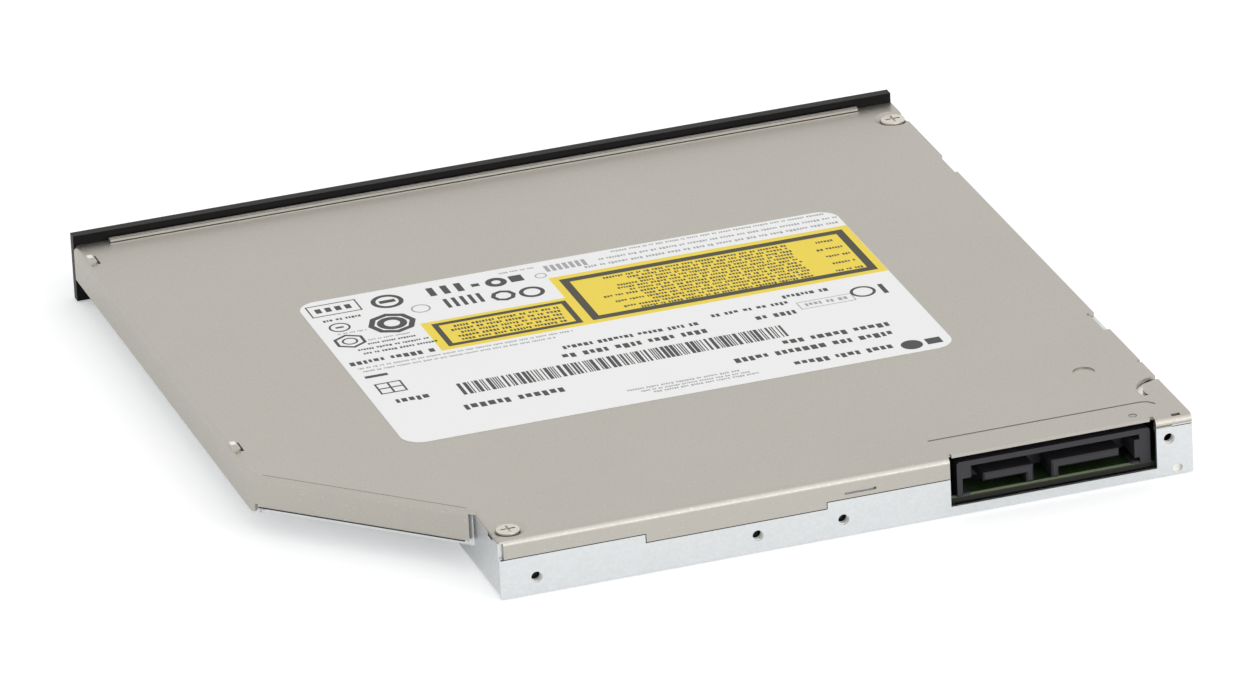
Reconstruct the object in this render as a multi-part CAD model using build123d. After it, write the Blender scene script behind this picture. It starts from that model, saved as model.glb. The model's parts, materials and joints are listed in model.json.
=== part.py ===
"""Slim tray-loading optical disc writer for a laptop bay, built piece by piece in millimetres.

The origin is the bottom centre of the whole drive. +Z is up, the bezel faces -Y, the
host connector faces +Y and the thin wing of the housing is on the +X side.
"""
from build123d import *
from math import hypot
import os

os.makedirs("parts", exist_ok=True)

# Housing, driving dimensions
width = 128.0                # over the two covers, along X
depth = 126.1                # bezel face to rear wall, along Y
height = 9.0                 # underside to top sheet
sheet = 0.5                  # steel sheet of both covers
cover_gap = 0.05             # where one cover lies against the other
bezel_thick = 2.0
bezel_gap = 0.05             # covers to the back of the bezel
bend = 0.9                   # outside radius of the folded edges
wing_wide = 25.2             # the thin wing beside the full-height box
wing_under = 3.6             # underside of the thin wing
chamfer_setback = 10.65      # rear wall to the chamfer's end on the box wall
chamfer_deep = 24.8          # the chamfer along Y
chamfer_flange_z = 4.4       # lower edge of the slanted flange
slit = 0.7                   # open slit where the slanted flange ends

# Places that follow from them
left = -width / 2
right = width / 2
front = -depth / 2
rear = depth / 2
box_side_x = right - wing_wide
chamfer_rear_y = rear - chamfer_setback
chamfer_front_y = chamfer_rear_y - chamfer_deep
cover_front = front + bezel_thick + bezel_gap
bezel_back = front + bezel_thick
wing_floor = wing_under + sheet
ceiling = height - sheet
wall_inner = right - sheet                      # inside of either side wall of the box
side_inner = right - sheet - cover_gap          # outside of the wing wall of the lower cover
rear_inner = rear - sheet
rear_behind = rear - sheet - cover_gap          # lower cover's wall where it is set in
cut_low = wing_under - 1.0                      # where cuts through the top cover's flanges start

# Front hem of the top cover
hem_left_x = left + 5.7
hem_right_x = right - 5.3
hem_depth = 1.25
hem_gap = 0.05

# Rear flange of the top cover: (x from, x to, height of its lower edge)
window_left_x = left + 5.4
window_right_x = left + 36.3
window_floor_z = 1.5
flange_steps = [
    (box_side_x - 21.4, box_side_x, 6.1),
    (box_side_x - 48.2, box_side_x - 21.4, 4.8),
    (window_right_x, box_side_x - 48.2, 5.8),
]
corner_flange = (left, window_left_x, 7.9)
corner_step = (left + 3.0, 0.25)    # where the corner flange grows longer, and by how much
joggle = 0.5                 # overlap of the two covers behind the flange
relief_wide = 0.6            # notches into the bend at both ends of the window
relief_high = 0.5
lanced_slot = (window_right_x + 11.0, window_right_x + 15.7, 6.4)
lanced_tall = 0.4
tool_slot = (left + 1.5, left + 2.8)            # slot on the rear bend, at the corner
oval_notch = (left + 2.35, 1.05, 0.75, 0.6)     # in the rear wall: place, half width, half height

# Threaded holes for the bay's M2 screws
tap_r = 0.8
tap_burr_r = 1.25
tap_burr_len = 0.9
tap_low_z = 2.65
rear_taps = [
    (box_side_x - 5.3, tap_low_z),
    (box_side_x - 37.8, tap_low_z),
    (box_side_x - 50.5, tap_low_z),
    (left + 3.5, 5.8),
]
side_tap_z = 1.95
side_taps = [(front + 27.05, side_tap_z), (front + 97.05, side_tap_z)]
side_burr_r = 1.0
side_tap_inset = 0.6

# Screws of the top cover: (x, y, head radius)
cover_screws = [(left + 1.9, front + 8.05, 1.85), (box_side_x - 2.6, rear - 3.65, 1.7)]
tab_z = 7.45                 # tabs of the lower cover that the cover screws bite in
tab_reach = (2.1, 4.2)
tab_half = (2.6, 2.0)
screw_r = 0.6
screw_free = 0.2             # free space round the screw in the sheet
screw_head = 0.45
head_round = 0.15
cross_half = 0.17            # cross slot: half its width and its depth
cross_deep = 0.3
dish_r = 2.75
dish_flat = 0.1              # flat round the head in the dish
dish_depth = 0.45

# Marks pressed or cut into the top sheet
lance_ys = [front + 8.45, chamfer_front_y - 10.0]
lance_edge = 0.35
lance_len = 3.2
lance_wide = 1.1
lance_gap = 0.3
lance_rise = 0.35
groove_y = rear - 6.85
groove_x = (window_right_x + 0.7, left + 5.3)
groove_tip = (left + 3.5, rear - 5.4)
groove_wide = 0.35
groove_deep = 0.2
half_moon = (left + 8.7, rear - 19.85)
half_moon_r = 1.6
dimple = (left + 7.8, rear - 2.85)
dimple_r = 1.0
notch_mid_y = rear - 35.15
edge_notches = [
    (notch_mid_y - 3.4, notch_mid_y - 2.6, 1.2),
    (notch_mid_y - 2.6, notch_mid_y + 3.0, 0.9),
    (front + 24.45, front + 31.05, 0.45),
    (notch_mid_y + 15.0, notch_mid_y + 15.7, 0.5),
]
relief = (rear - 12.05, 3.2)         # curved relief cut in the -X edge: centre y and reach in from the edge

# Ribs pressed into the floor of the lower cover
floor_rib_deep = 0.2
floor_rib_half = 1.5
floor_ring_r = (21.0, 24.0)
floor_ribs = [               # x, y from, y to
    (left + 8.5, front + 22.0, front + 44.0),
    (left + 8.5, front + 80.0, front + 96.0),
    (box_side_x - 9.0, front + 22.0, front + 44.0),
]

# Label on the top sheet
label_x = (left + 21.8, right - 23.4)
label_y = (front + 36.75, rear - 36.05)
label_r = 3.0
label_thick = 0.08

# Disc place
disc_y = 1.0                 # the spindle stands on x = 0
recess_r = min(width, depth) / 2 - 2.55
disc_plane = 6.0             # underside of a disc on its turntable

# Tray
tray_gap = 0.3
tray_top = 7.9
tray_floor = 4.3
tray_floor_thick = 1.0
tray_wall = 1.0
tray_side = right - 2.8      # outer face of the side walls, either side of x = 0
tub_side_x = box_side_x - 5.2                   # +X wall of the deep tub; the catch post's lane is beside it
undercover_z = 0.8
undercover_thick = 0.3
tub_bottom = undercover_z + undercover_thick
floor_top = tray_floor + tray_floor_thick
roof = tray_top - tray_floor_thick              # underside of the tray's top
cut_x = left + 46.0          # the tray is cut away over the connector board
cut_y = rear - 25.05
rib_pitch = 12.0             # stiffening ribs inside the tray
rib_count = 5                # either side of x = 0
rib_half = 0.4
boss_r = 1.9

# Telescopic rails, pressed from thin strip
rail_thick = 0.3
rail_gap = 0.1
rail_front = front + 5.05
rails = {
    "left": {"side": -1, "web": wall_inner, "zc": 5.1, "half": 2.1, "rear": rear - 27.05},
    "right": {"side": 1, "web": side_inner - sheet, "zc": 5.8, "half": 1.6, "rear": chamfer_front_y - 4.1},
}
rail_tip = tray_side + 0.2
rail_hole_r = 0.7
rail_hole_inset = 8.0
tray_back = rear_inner - max(tap_burr_len, sheet + cover_gap) - tray_gap

# Bezel and its small parts
bezel_low = 0.1
bezel_high = 10.5
bezel_corner = 0.6
hook_xs = (left + 16.0, left + 58.0, left + 84.0)
hook_len = 3.0
hook_wide = 5.0
hook_z = 2.0
hook_thick = 0.7
hook_barb = 0.4
button_x = right - 19.0
button_size = (9.0, 2.6)
button_z = 6.2
button_round = 0.35
button_fit = 0.15
collar_gap = 0.06
led_x = button_x - 11.0
led_size = (2.6, 1.0)
pinhole_x = button_x - 19.0
pinhole_r = 0.6

# Spindle
turntable_r = 13.6
shaft_r = 1.0
shaft_fit = 0.05
sleeve_r = 2.6
sleeve_top = 3.5
hub_r = 7.35
hub_top = 7.9
rotor_r = 12.8
rotor_inner_r = 10.0
rotor_low = 1.8
motor_base_z = 1.3
motor_base_thick = 0.4
base_r = rotor_r + 2.2
stator_teeth = 9
stator_z = (2.1, 2.9)
claw_count = 3
claw_z = (6.45, 7.4)
centre_hole_r = 17.5

# Traverse, drawn along u, the pickup's way out from the spindle
traverse_turn = 225.0
chassis_z = 2.2
chassis_thick = 0.8
chassis_top = chassis_z + chassis_thick
chassis_u = (-19.0, recess_r + 6.9)
chassis_v = (-24.0, 26.0)
chassis_corner_r = 3.0
chassis_edge_x = -tray_side + 1.6
chassis_edge_y = front + 4.45
rod_v = 14.6
guide_r = 1.0
guide_z = 3.0
guide_u = (12.5, recess_r + 6.1)
holder_half = 1.3
sled_inner_r = 25.0
sled_ahead = 7.0
sled_behind = 9.5
sled_half = 16.8
sled_z = (1.5, 4.5)
lens_seat_z = 4.4
screw_v = 21.0
screw_z = 3.4
screw_thread_r = 1.0
screw_u = (-4.0, recess_r - 0.5)
screw_pitch = 3.0
screw_groove = 0.5
stepper_r = 2.2
stepper_len = 12.0
plate_thick = 0.6
damper_uv = [(-15.8, 13.5), (-15.0, -19.0), (recess_r - 22.5, -21.0)]
damper_r = 2.3
damper_neck = 1.6
damper_low = chassis_z - 0.7
damper_top = chassis_top + 0.15
damper_bore = 0.75
damper_pin_r = 0.65

# Catch
pivot = (tub_side_x - 4.6, front + 23.05)
pivot_r = 0.8
post = (tub_side_x + 2.4, front + 13.05)
post_r = 0.8
post_top = 3.6
lever_z = (1.7, 2.7)
lever_mid_z = sum(lever_z) / 2
hook_reach = (5.4, -9.2)     # from the lever's pivot to its hook
tail_len = 5.0
plunger_r = 0.7

# Control board under the tray
board_thick = 0.8
main_board_z = 3.3
main_board_lean = 32.0       # x + y along its slanted edge
main_board_front = 4.0
main_board_screws = [
    (tub_side_x - 5.1, disc_y + 9.0),
    (tub_side_x - 5.1, rear - 6.55),
    (cut_x + 5.5, rear - 6.55),
]
chip_places = [              # x, y, width, depth, height of each part
    (tub_side_x - 19.6, rear - 23.05, 14.0, 14.0, 1.1),
    (tub_side_x - 37.6, rear - 15.05, 9.0, 7.0, 0.9),
    (tub_side_x - 8.6, rear - 39.05, 6.0, 8.0, 0.9),
    (tub_side_x - 21.6, rear - 7.05, 5.0, 4.0, 1.3),
    (tub_side_x - 6.6, rear - 21.05, 4.0, 4.0, 1.5),
]
corner_free = (tub_side_x - 0.6, rear - 7.05)   # the tray keeps clear of the cover screw beyond this corner
undercover_screw_inset = 2.4                    # from the tub's side walls, so that each boss grows out of one
undercover_screws = [
    (-tray_side + undercover_screw_inset, front + 5.25),
    (tub_side_x - undercover_screw_inset, front + 5.25),
    (-tray_side + undercover_screw_inset, cut_y - 3.2),
    (tub_side_x - undercover_screw_inset, front + 52.55),
]
undercover_screw_top = 3.6
vent_x = (-tray_side + 9.2, -tray_side + 27.2)
vent_first_y = cut_y - 30.0
vent_pitch = 6.0
vent_count = 4
vent_wide = 2.0

# Board of the host connector
connector_board_z = 1.3
connector_board_top = connector_board_z + board_thick
connector_board = (left + 1.8, left + 43.0, rear - 22.55, rear - 1.45)
host_board_screws = [
    (connector_board[0] + 2.8, connector_board[2] + 3.1),
    (connector_board[1] - 3.0, connector_board[2] + 3.1),
]
host_post_r = 1.6
ribbon_x = (left + 12.0, left + 28.0)
ribbon_z = 0.52
ribbon_thick = 0.1
ribbon_front = cut_y - 48.0
ribbon_socket = (4.6, 7.4)   # from the board's front edge

# Host connector
shroud = (left + 5.8, left + 34.8, rear - 10.05, rear - 1.45)
shroud_z = (connector_board_top, 7.4)
shroud_wall = 0.8
guide_left = (1.6, 0.8, 3.1, 5.8)               # -X end: wall, guide inside it, guide from z to z
guide_right = (1.3, 4.8)                        # +X end: guide inside the wall, down to z
shroud_back = 3.4
shroud_round = 0.5
signal_tongue = (left + 10.3, left + 20.5)
power_tongue = (left + 23.2, left + 30.7)
tongue_z = (3.6, 4.8)
tongue_front = rear - 1.85
tongue_edge = 0.25
key_wide = 1.1
key_drop = 1.4
contact_half = 0.25
contact_thick = 0.12
foot_wide = 1.1              # solder feet inside both ends of the connector
foot_high = 0.35


def block(x0, x1, y0, y1, z0, z1):
    """A plain block between two corners."""
    return Pos((x0 + x1) / 2, (y0 + y1) / 2, (z0 + z1) / 2) * Box(abs(x1 - x0), abs(y1 - y0), abs(z1 - z0))


def prism(points, z0, z1):
    """A polygon in plan, raised from z0 to z1."""
    face = make_face(Polyline(*points, close=True))
    return Pos(0, 0, z0) * extrude(face, z1 - z0, dir=(0, 0, 1))


def disc(x, y, r, z0, z1):
    """An upright cylinder."""
    return Pos(x, y, (z0 + z1) / 2) * Cylinder(r, z1 - z0)


def rod_y(x, z, r, y0, y1):
    """A cylinder along Y."""
    return Pos(x, (y0 + y1) / 2, z) * Rot(90, 0, 0) * Cylinder(r, y1 - y0)


def rod_x(y, z, r, x0, x1):
    """A cylinder along X."""
    return Pos((x0 + x1) / 2, y, z) * Rot(0, 90, 0) * Cylinder(r, x1 - x0)


def along_x(points, x0, x1):
    """A profile drawn in (y, z), extruded from x0 to x1."""
    face = make_face(Polyline(*[(x0, y, z) for y, z in points], close=True))
    return extrude(face, x1 - x0, dir=(1, 0, 0))


def along_y(points, y0, y1):
    """A profile drawn in (x, z), extruded from y0 to y1."""
    face = make_face(Polyline(*[(x, y0, z) for x, z in points], close=True))
    return extrude(face, y1 - y0, dir=(0, 1, 0))


def turned(x, y, points):
    """A half-section drawn in (r, z), turned about an upright axis."""
    face = make_face(Polyline(*[(r, 0, z) for r, z in points], close=True))
    return Pos(x, y, 0) * revolve(face, Axis.Z, 360)


def joined(solids):
    """All the solids of a list as one shape."""
    whole = solids[0]
    for solid in solids[1:]:
        whole = whole + solid
    return whole


def chamfer_slope():
    """How far the housing's slanted edge falls along Y for each millimetre towards +X."""
    return (chamfer_rear_y - chamfer_front_y) / (right - box_side_x)


def plan(inset, front_y, left_x, wing_inset=None):
    """Outline of the housing with its chamfered wing, drawn in by the given distance."""
    wing = inset if wing_inset is None else wing_inset
    slope = chamfer_slope()
    shift = wing * (hypot(1.0, slope) - slope)
    drop = wing * hypot(1.0, slope) - slope * inset
    return [
        (left_x, front_y),
        (right - wing, front_y),
        (right - wing, chamfer_front_y - shift),
        (box_side_x - inset, chamfer_rear_y - drop),
        (box_side_x - inset, rear - inset),
        (left_x, rear - inset),
    ]


def edges_at(solid, z, tol=0.01):
    """The edges that lie wholly at one height."""
    boxes = [(edge, edge.bounding_box()) for edge in solid.edges()]
    return [edge for edge, box in boxes if abs(box.min.Z - z) < tol and abs(box.max.Z - z) < tol]


def top_shell():
    """Top sheet with its folded +X, slanted and rear flanges."""
    outer = prism(plan(0.0, cover_front, left), wing_under, height)
    folded = [e for e in edges_at(outer, height)
              if e.center().X > left + 1.0 and e.center().Y > cover_front + 1.0]
    outer = fillet(folded, bend)
    past = 5.0
    inner = prism(plan(sheet, cover_front - past, left - past), cut_low, ceiling)
    folded = [e for e in edges_at(inner, ceiling) if e.center().X > left - 1.0 and e.center().Y > cover_front]
    inner = fillet(folded, bend - sheet)
    return outer - inner


def flange_cuts():
    """What is cut from the folded flanges: their stepped lower edges, the window and the open corners."""
    bend_line = rear - bend - 0.2
    cuts = [block(x0, x1, bend_line, rear + 1.0, cut_low, edge) for x0, x1, edge in flange_steps]
    cuts.append(block(window_left_x, window_right_x, rear - bend, rear + 1.0, cut_low, height + 1.0))
    for x in (window_left_x, window_right_x - relief_wide):
        cuts.append(block(x, x + relief_wide, rear - bend - relief_high, rear, ceiling - 0.1, height + 1.0))
    x0, x1, edge = corner_flange
    step_x, step_down = corner_step
    cuts.append(block(x0 - 1.0, step_x, bend_line, rear + 1.0, cut_low, edge))
    cuts.append(block(step_x, x1, bend_line, rear + 1.0, cut_low, edge - step_down))
    side = box_side_x - sheet - 0.2
    cuts.append(block(side, box_side_x + 0.01, chamfer_rear_y - 2.0, rear + 1.0, cut_low, ceiling - 0.01))
    slit_x = box_side_x + slit
    cuts.append(block(box_side_x - 1.0, slit_x, chamfer_rear_y - 2.5, chamfer_rear_y + 1.0, cut_low, ceiling))
    flange_y = chamfer_front_y - 3.0
    cuts.append(block(slit_x, right - bend - 0.3, flange_y, chamfer_rear_y, cut_low, chamfer_flange_z))
    corner = Pos(right - 1.0, chamfer_front_y + 0.4, chamfer_flange_z - 0.4) * Rot(0, 0, 45)
    cuts.append(corner * Box(3.0, 0.7, 1.6))
    x0, x1, z = lanced_slot
    cuts.append(block(x0, x1, rear - sheet - 0.02, rear + 1.0, z, z + lanced_tall))
    cuts.append(block(*tool_slot, rear - 1.1, rear - 0.5, ceiling - 0.6, height + 0.5))
    return joined(cuts)


def hem():
    """The front edge of the top sheet, folded back on itself."""
    y0 = cover_front + sheet
    y1 = cover_front + hem_depth
    lap = block(hem_left_x, hem_right_x, y0, y1, height + hem_gap, height + sheet)
    nose = rod_x(y0, height, sheet, hem_left_x, hem_right_x)
    return lap + (nose - block(hem_left_x, hem_right_x, y0, y1 + 1.0, height, height + hem_gap))


def lances():
    """Tabs lanced up along the +X edge: (the slit beside them, the tabs)."""
    x1 = right - lance_edge
    x0 = x1 - lance_wide
    slits = []
    tabs = []
    for y in lance_ys:
        y0, y1 = y - lance_len / 2, y + lance_len / 2
        slits.append(block(x0 - lance_gap, x0, y0, y1, ceiling - 1.0, height + 1.0))
        tab = block(x0, x1, y0, y1, ceiling, height + lance_rise)
        tabs.append(fillet(tab.edges().filter_by(Axis.Z), lance_wide * 0.45))
    return joined(slits), joined(tabs)


def sheet_marks():
    """Notches, relief cut, groove, half-moon and dimple in the top sheet."""
    below = ceiling - 0.5
    above = height + 0.5
    cuts = [block(left - 1.0, left + reach, y0, y1, below, above) for y0, y1, reach in edge_notches]
    centre_y, reach = relief
    arc_cut = disc(left, centre_y + 2.0, reach + 1.0, below, above)
    arc_cut -= disc(left, centre_y + 2.4, reach + 0.2, below - 0.5, above + 0.5)
    corner = block(left - 1.0, left + reach + 2.0, centre_y - 3.0, centre_y + 3.6, 0.0, above + 1.0)
    cuts.append(arc_cut & corner)
    bed = height - groove_deep
    half = groove_wide / 2
    x1, x0 = groove_x
    mid_y = groove_y + half
    tip_x, tip_y = groove_tip
    bow = (x0 + (tip_x - x0) * 0.6, mid_y + (tip_y - mid_y) * 0.25)
    path = Polyline((x1, mid_y), (x0, mid_y), bow, groove_tip)
    groove = make_face(offset(path, half, side=Side.BOTH))
    cuts.append(Pos(0, 0, bed) * extrude(groove, 1.0, dir=(0, 0, 1)))
    moon = disc(*half_moon, half_moon_r, bed, height + 1.0)
    moon -= disc(half_moon[0] + 0.3, half_moon[1] + 0.8, half_moon_r - 0.2, 0.0, height + 2.0)
    cuts.append(moon)
    cuts.append(Pos(*dimple, height + 0.8 * dimple_r) * Sphere(dimple_r))
    return cuts


def dish(x, y, head_r):
    """A dished screw seat: what it takes from the sheet and what it adds below."""
    flat_r = head_r + dish_flat
    low = height - dish_depth
    take = turned(x, y, [(0, low), (flat_r, low), (dish_r, height), (dish_r, height + 1.0), (0, height + 1.0)])
    under = ceiling - dish_depth
    give = turned(x, y, [(0, under), (flat_r, under), (dish_r, ceiling), (dish_r, height), (0, height)])
    return take, give


def top_cover():
    """The top cover, one folded sheet."""
    body = top_shell() - flange_cuts()
    body += hem()
    slits, tabs = lances()
    body = body - slits + tabs
    for cut in sheet_marks():
        body -= cut
    inside = block(left + 0.02, box_side_x - 0.02, front, rear_behind - 0.6, 0.0, height)
    for x, y, head_r in cover_screws:
        take, give = dish(x, y, head_r)
        body = body + (give & inside) - take
        body -= disc(x, y, screw_r + screw_free, 0.0, height)
    return body


def rear_wall():
    """Rear wall of the lower cover: flush below the top cover's flange, set in behind it."""
    base = 0.2
    lip = ceiling - 0.75 * (bend - sheet)
    step_x, step_down = corner_step
    x0, x1, edge = corner_flange
    spans = flange_steps + [(x0, step_x, edge), (step_x, x1, edge - step_down)]
    parts = []
    for x0, x1, edge in spans:
        step = edge - cover_gap
        parts.append(along_x([
            (rear_inner, base), (rear, base), (rear, step), (rear_behind, step),
            (rear_behind, lip), (rear_behind - sheet, lip),
            (rear_behind - sheet, step - joggle), (rear_inner, step - joggle),
        ], x0, x1))
    parts.append(block(window_left_x, window_right_x, rear_inner, rear, base, window_floor_z))
    return joined(parts)


def pan():
    """Deep part of the lower cover: its floor and two side walls, bent up from the sheet."""
    lip = ceiling - cover_gap
    body = block(left, box_side_x, cover_front, rear, 0.0, lip)
    body = fillet([e for e in edges_at(body, 0.0) if e.center().Y > cover_front + 1.0], bend)
    cut = block(left + sheet, box_side_x - sheet, cover_front - 5.0, rear_inner, sheet, height + 1.0)
    cut = fillet([e for e in edges_at(cut, sheet) if e.center().Y > cover_front], bend - sheet)
    body -= cut
    return body - block(left - 1.0, box_side_x + 1.0, rear_inner - 0.01, rear + 1.0, bend + 0.1, height + 1.0)


def wing_shelf(lip):
    """Raised part of the lower cover under the wing: what is added and what is hollow."""
    inner_x = box_side_x - sheet
    outline = plan(0.0, cover_front, inner_x, sheet + cover_gap)
    corner_y = outline[3][1]
    shelf = prism([
        (inner_x, cover_front), outline[1], outline[2], (box_side_x, corner_y), (inner_x, corner_y),
    ], wing_under, lip)
    inside = plan(0.0, cover_front - 5.0, inner_x, 2 * sheet + cover_gap)
    hollow_y = inside[3][1]
    open_x = inner_x - 0.01
    hollow = prism([
        (open_x, cover_front - 5.0), inside[1], inside[2], (box_side_x, hollow_y), (open_x, hollow_y),
    ], wing_floor, height + 1.0)
    wall_cut = block(open_x, box_side_x + 1.0, cover_front - 1.0, hollow_y, wing_floor, height)
    return shelf, hollow + wall_cut


def floor_ribs_pressed():
    """Ribs pressed up into the floor: what they take from below and what they add above."""
    r0, r1 = floor_ring_r
    z0, z1 = sheet - 0.1, sheet + floor_rib_deep
    take = disc(0, disc_y, r1, -1.0, floor_rib_deep) - disc(0, disc_y, r0, -2.0, height)
    give = disc(0, disc_y, r1 - sheet, z0, z1) - disc(0, disc_y, r0 + sheet, 0.0, height)
    for x, y0, y1 in floor_ribs:
        low = block(x - floor_rib_half, x + floor_rib_half, y0, y1, -1.0, floor_rib_deep)
        take += fillet(low.edges().filter_by(Axis.Z), floor_rib_half - 0.1)
        half = floor_rib_half - sheet
        high = block(x - half, x + half, y0 + sheet, y1 - sheet, z0, z1)
        give += fillet(high.edges().filter_by(Axis.Z), half - 0.1)
    return take, give


def bottom_cover():
    """The lower cover, one folded sheet: deep pan, raised wing shelf and the side walls."""
    bend_lip = ceiling - 0.75 * (bend - sheet)
    shelf, hollow = wing_shelf(bend_lip)
    body = pan() + shelf - hollow + rear_wall()
    take, give = floor_ribs_pressed()
    body = body + give - take
    for x, z in rear_taps:
        body += rod_y(x, z, tap_burr_r, rear_inner - tap_burr_len, rear_inner)
    for y, z in side_taps:
        body += rod_x(y, z, side_burr_r, left + sheet, left + sheet + side_tap_inset)
    x0 = left + sheet - 0.01
    x1 = box_side_x - sheet + 0.01
    tabs = ((x0, x0 + tab_reach[0]), (x1 - tab_reach[1], x1))
    for (start, stop), (x, y, r), half in zip(tabs, cover_screws, tab_half):
        body += block(start, stop, y - half, y + half, tab_z, tab_z + sheet)
    for x, y, r in cover_screws:
        body -= disc(x, y, screw_r + 0.02, tab_z - 0.1, height)
        body -= disc(x, y, dish_r + cover_gap, ceiling - dish_depth - cover_gap, height)
    body -= block(left - 1.0, left + sheet + 0.01, rear - 1.1, rear + 1.0, bend_lip, height)
    for x, y in host_board_screws:
        stud = disc(x, y, host_post_r, sheet - 0.01, connector_board_z)
        body += stud - disc(x, y, screw_r + 0.05, 0.0, height)
    for x, z in rear_taps:
        body -= rod_y(x, z, tap_r, rear - 4.0, rear + 1.0)
    for y, z in side_taps:
        body -= rod_x(y, z, tap_r, left - 1.0, left + sheet + side_tap_inset + 1.0)
    x, z, half_wide, half_tall = oval_notch
    oval = block(x - half_wide, x + half_wide, rear - sheet - 1.0, rear + 1.0, z - half_tall, z + half_tall)
    return body - fillet(oval.edges().filter_by(Axis.Y), half_tall - 0.05)


def label():
    """Printed sticker on the top sheet."""
    wide = label_x[1] - label_x[0]
    deep = label_y[1] - label_y[0]
    slab = extrude(RectangleRounded(wide, deep, label_r), label_thick)
    return Pos(sum(label_x) / 2, sum(label_y) / 2, height) * slab


def channel(rail, web_x, half, y0, y1):
    """A pressed C-shaped strip, open towards the tray."""
    side, zc = rail["side"], rail["zc"]
    t = rail_thick
    outline = [
        (side * web_x, zc - half), (side * rail_tip, zc - half), (side * rail_tip, zc - half + t),
        (side * (web_x - t), zc - half + t), (side * (web_x - t), zc + half - t),
        (side * rail_tip, zc + half - t), (side * rail_tip, zc + half), (side * web_x, zc + half),
    ]
    return along_y(outline, y0, y1)


def outer_rail(rail):
    """Rail fixed to the side wall of the lower cover."""
    return channel(rail, rail["web"] - cover_gap, rail["half"], rail_front, rail["rear"])


def middle_rail(rail):
    """Rail that floats between the fixed one and the tray."""
    step = rail_thick + rail_gap
    web_x = rail["web"] - cover_gap - step
    body = channel(rail, web_x, rail["half"] - step, rail_front + 1.0, rail["rear"] - 1.0)
    for y in (rail_front + rail_hole_inset, rail["rear"] - rail_hole_inset):
        body -= rod_x(y, rail["zc"], rail_hole_r, -width, width)
    return body


def tongue(rail):
    """Rib on the tray's side that runs in the middle rail."""
    side, zc = rail["side"], rail["zc"]
    step = 2 * (rail_thick + rail_gap)
    outer = rail["web"] - cover_gap - step
    half = rail["half"] - step
    x0, x1 = sorted((side * (tray_side - 0.5), side * outer))
    return block(x0, x1, rail_front - 2.0, rail["rear"] - 1.5, zc - half, zc + half)


def tray_outline(inset=0.0):
    """Plan of the tray, cut away at the rear -X corner and slanted on the wing."""
    slope = chamfer_slope()
    clear = (2 * sheet + 2 * cover_gap + tray_gap + inset) * hypot(1.0, slope)
    wing_x = tray_side - inset
    wing_y = chamfer_front_y + slope * (right - wing_x) - clear
    box_x = box_side_x - sheet - tray_gap - 0.2 - inset
    box_y = chamfer_front_y + slope * (right - box_x) - clear
    front_y = bezel_back + inset
    return [
        (-wing_x, front_y), (wing_x, front_y), (wing_x, wing_y), (box_x, box_y), (box_x, tray_back - inset),
        (cut_x + inset, tray_back - inset), (cut_x + inset, cut_y - inset), (-wing_x, cut_y - inset),
    ]


def tub_outline(inset=0.0):
    """Plan of the tray's deep part, inside the full-height box of the housing."""
    x0, x1 = -tray_side + inset, tub_side_x - inset
    y0, y1 = bezel_back + inset, tray_back - inset
    cut = cut_x + inset
    return [(x0, y0), (x1, y0), (x1, y1), (cut, y1), (cut, cut_y - inset), (x0, cut_y - inset)]


def traverse(solid):
    """Turn a piece drawn along u into the drive's frame."""
    return Pos(0, disc_y, 0) * Rot(0, 0, traverse_turn) * solid


def sweep_window():
    """Space over the pickup's way, and over the screw and its motor."""
    clear = 0.7
    z0, z1 = tray_floor - 1.0, tray_top - 0.8
    half = sled_half + clear
    space = block(3.0, chassis_u[1] + 0.4, -half, half, z0, z1)
    space += block(-stepper_len - 6.0, screw_u[1] + 1.0, sled_half, screw_v + 2.4 + clear, z0, z1)
    inside = block(-tray_side + tray_wall, tub_side_x - tray_wall, cover_front + tray_wall, rear, 0.0, height)
    return traverse(space) & inside


def tray_shell():
    """The tray's moulded body: disc recess and ribbed underside, with the walls of the deep tub."""
    body = prism(tray_outline(), tray_floor, tray_top)
    body -= disc(0, disc_y, recess_r, floor_top, tray_top + 1.0)
    pocket = prism(tray_outline(tray_wall + 0.2), tray_floor - 1.0, roof)
    pocket -= disc(0, disc_y, recess_r + tray_wall, 0.0, height)
    for i in range(-rib_count, rib_count + 1):
        pocket -= block(i * rib_pitch - rib_half, i * rib_pitch + rib_half, front, rear, 0.0, height)
    body -= pocket
    lap = 0.05
    tub = prism(tub_outline(), tub_bottom, roof + lap)
    tub -= prism(tub_outline(tray_wall), tub_bottom - 1.0, roof + 1.0)
    body += tub - disc(0, disc_y, recess_r, floor_top, height)
    body -= block(corner_free[0], right, corner_free[1], rear, roof - 0.1, height)
    for rail in rails.values():
        body += tongue(rail)
    body -= disc(0, disc_y, centre_hole_r, tray_floor - 1.0, floor_top + 1.0)
    return body - sweep_window()


def tray_bosses():
    """Bosses under the tray floor: for the grommets, the control board, the lever and the plate."""
    bosses = []
    lap = 0.01
    for u, v in damper_uv:
        boss = disc(u, v, boss_r, damper_top, tray_floor + lap) - disc(u, v, 0.7, 0.0, tray_floor)
        bosses.append(traverse(boss))
    recess = disc(0, disc_y, recess_r, floor_top - lap, height)
    for x, y in main_board_screws:
        boss = disc(x, y, boss_r, main_board_z + board_thick, roof + lap) - recess
        bosses.append(boss - disc(x, y, screw_r, 0.0, tray_floor))
    bosses.append(disc(*pivot, boss_r - 0.1, lever_z[1] + 0.1, tray_floor + lap))
    bosses.append(disc(*pivot, pivot_r, lever_z[0] - 0.3, tray_floor))
    for x, y in undercover_screws:
        boss = disc(x, y, boss_r - 0.1, tub_bottom, roof + lap) - recess
        bosses.append(boss - disc(x, y, screw_r + 0.05, 0.0, undercover_screw_top + 0.2))
    return bosses


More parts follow.
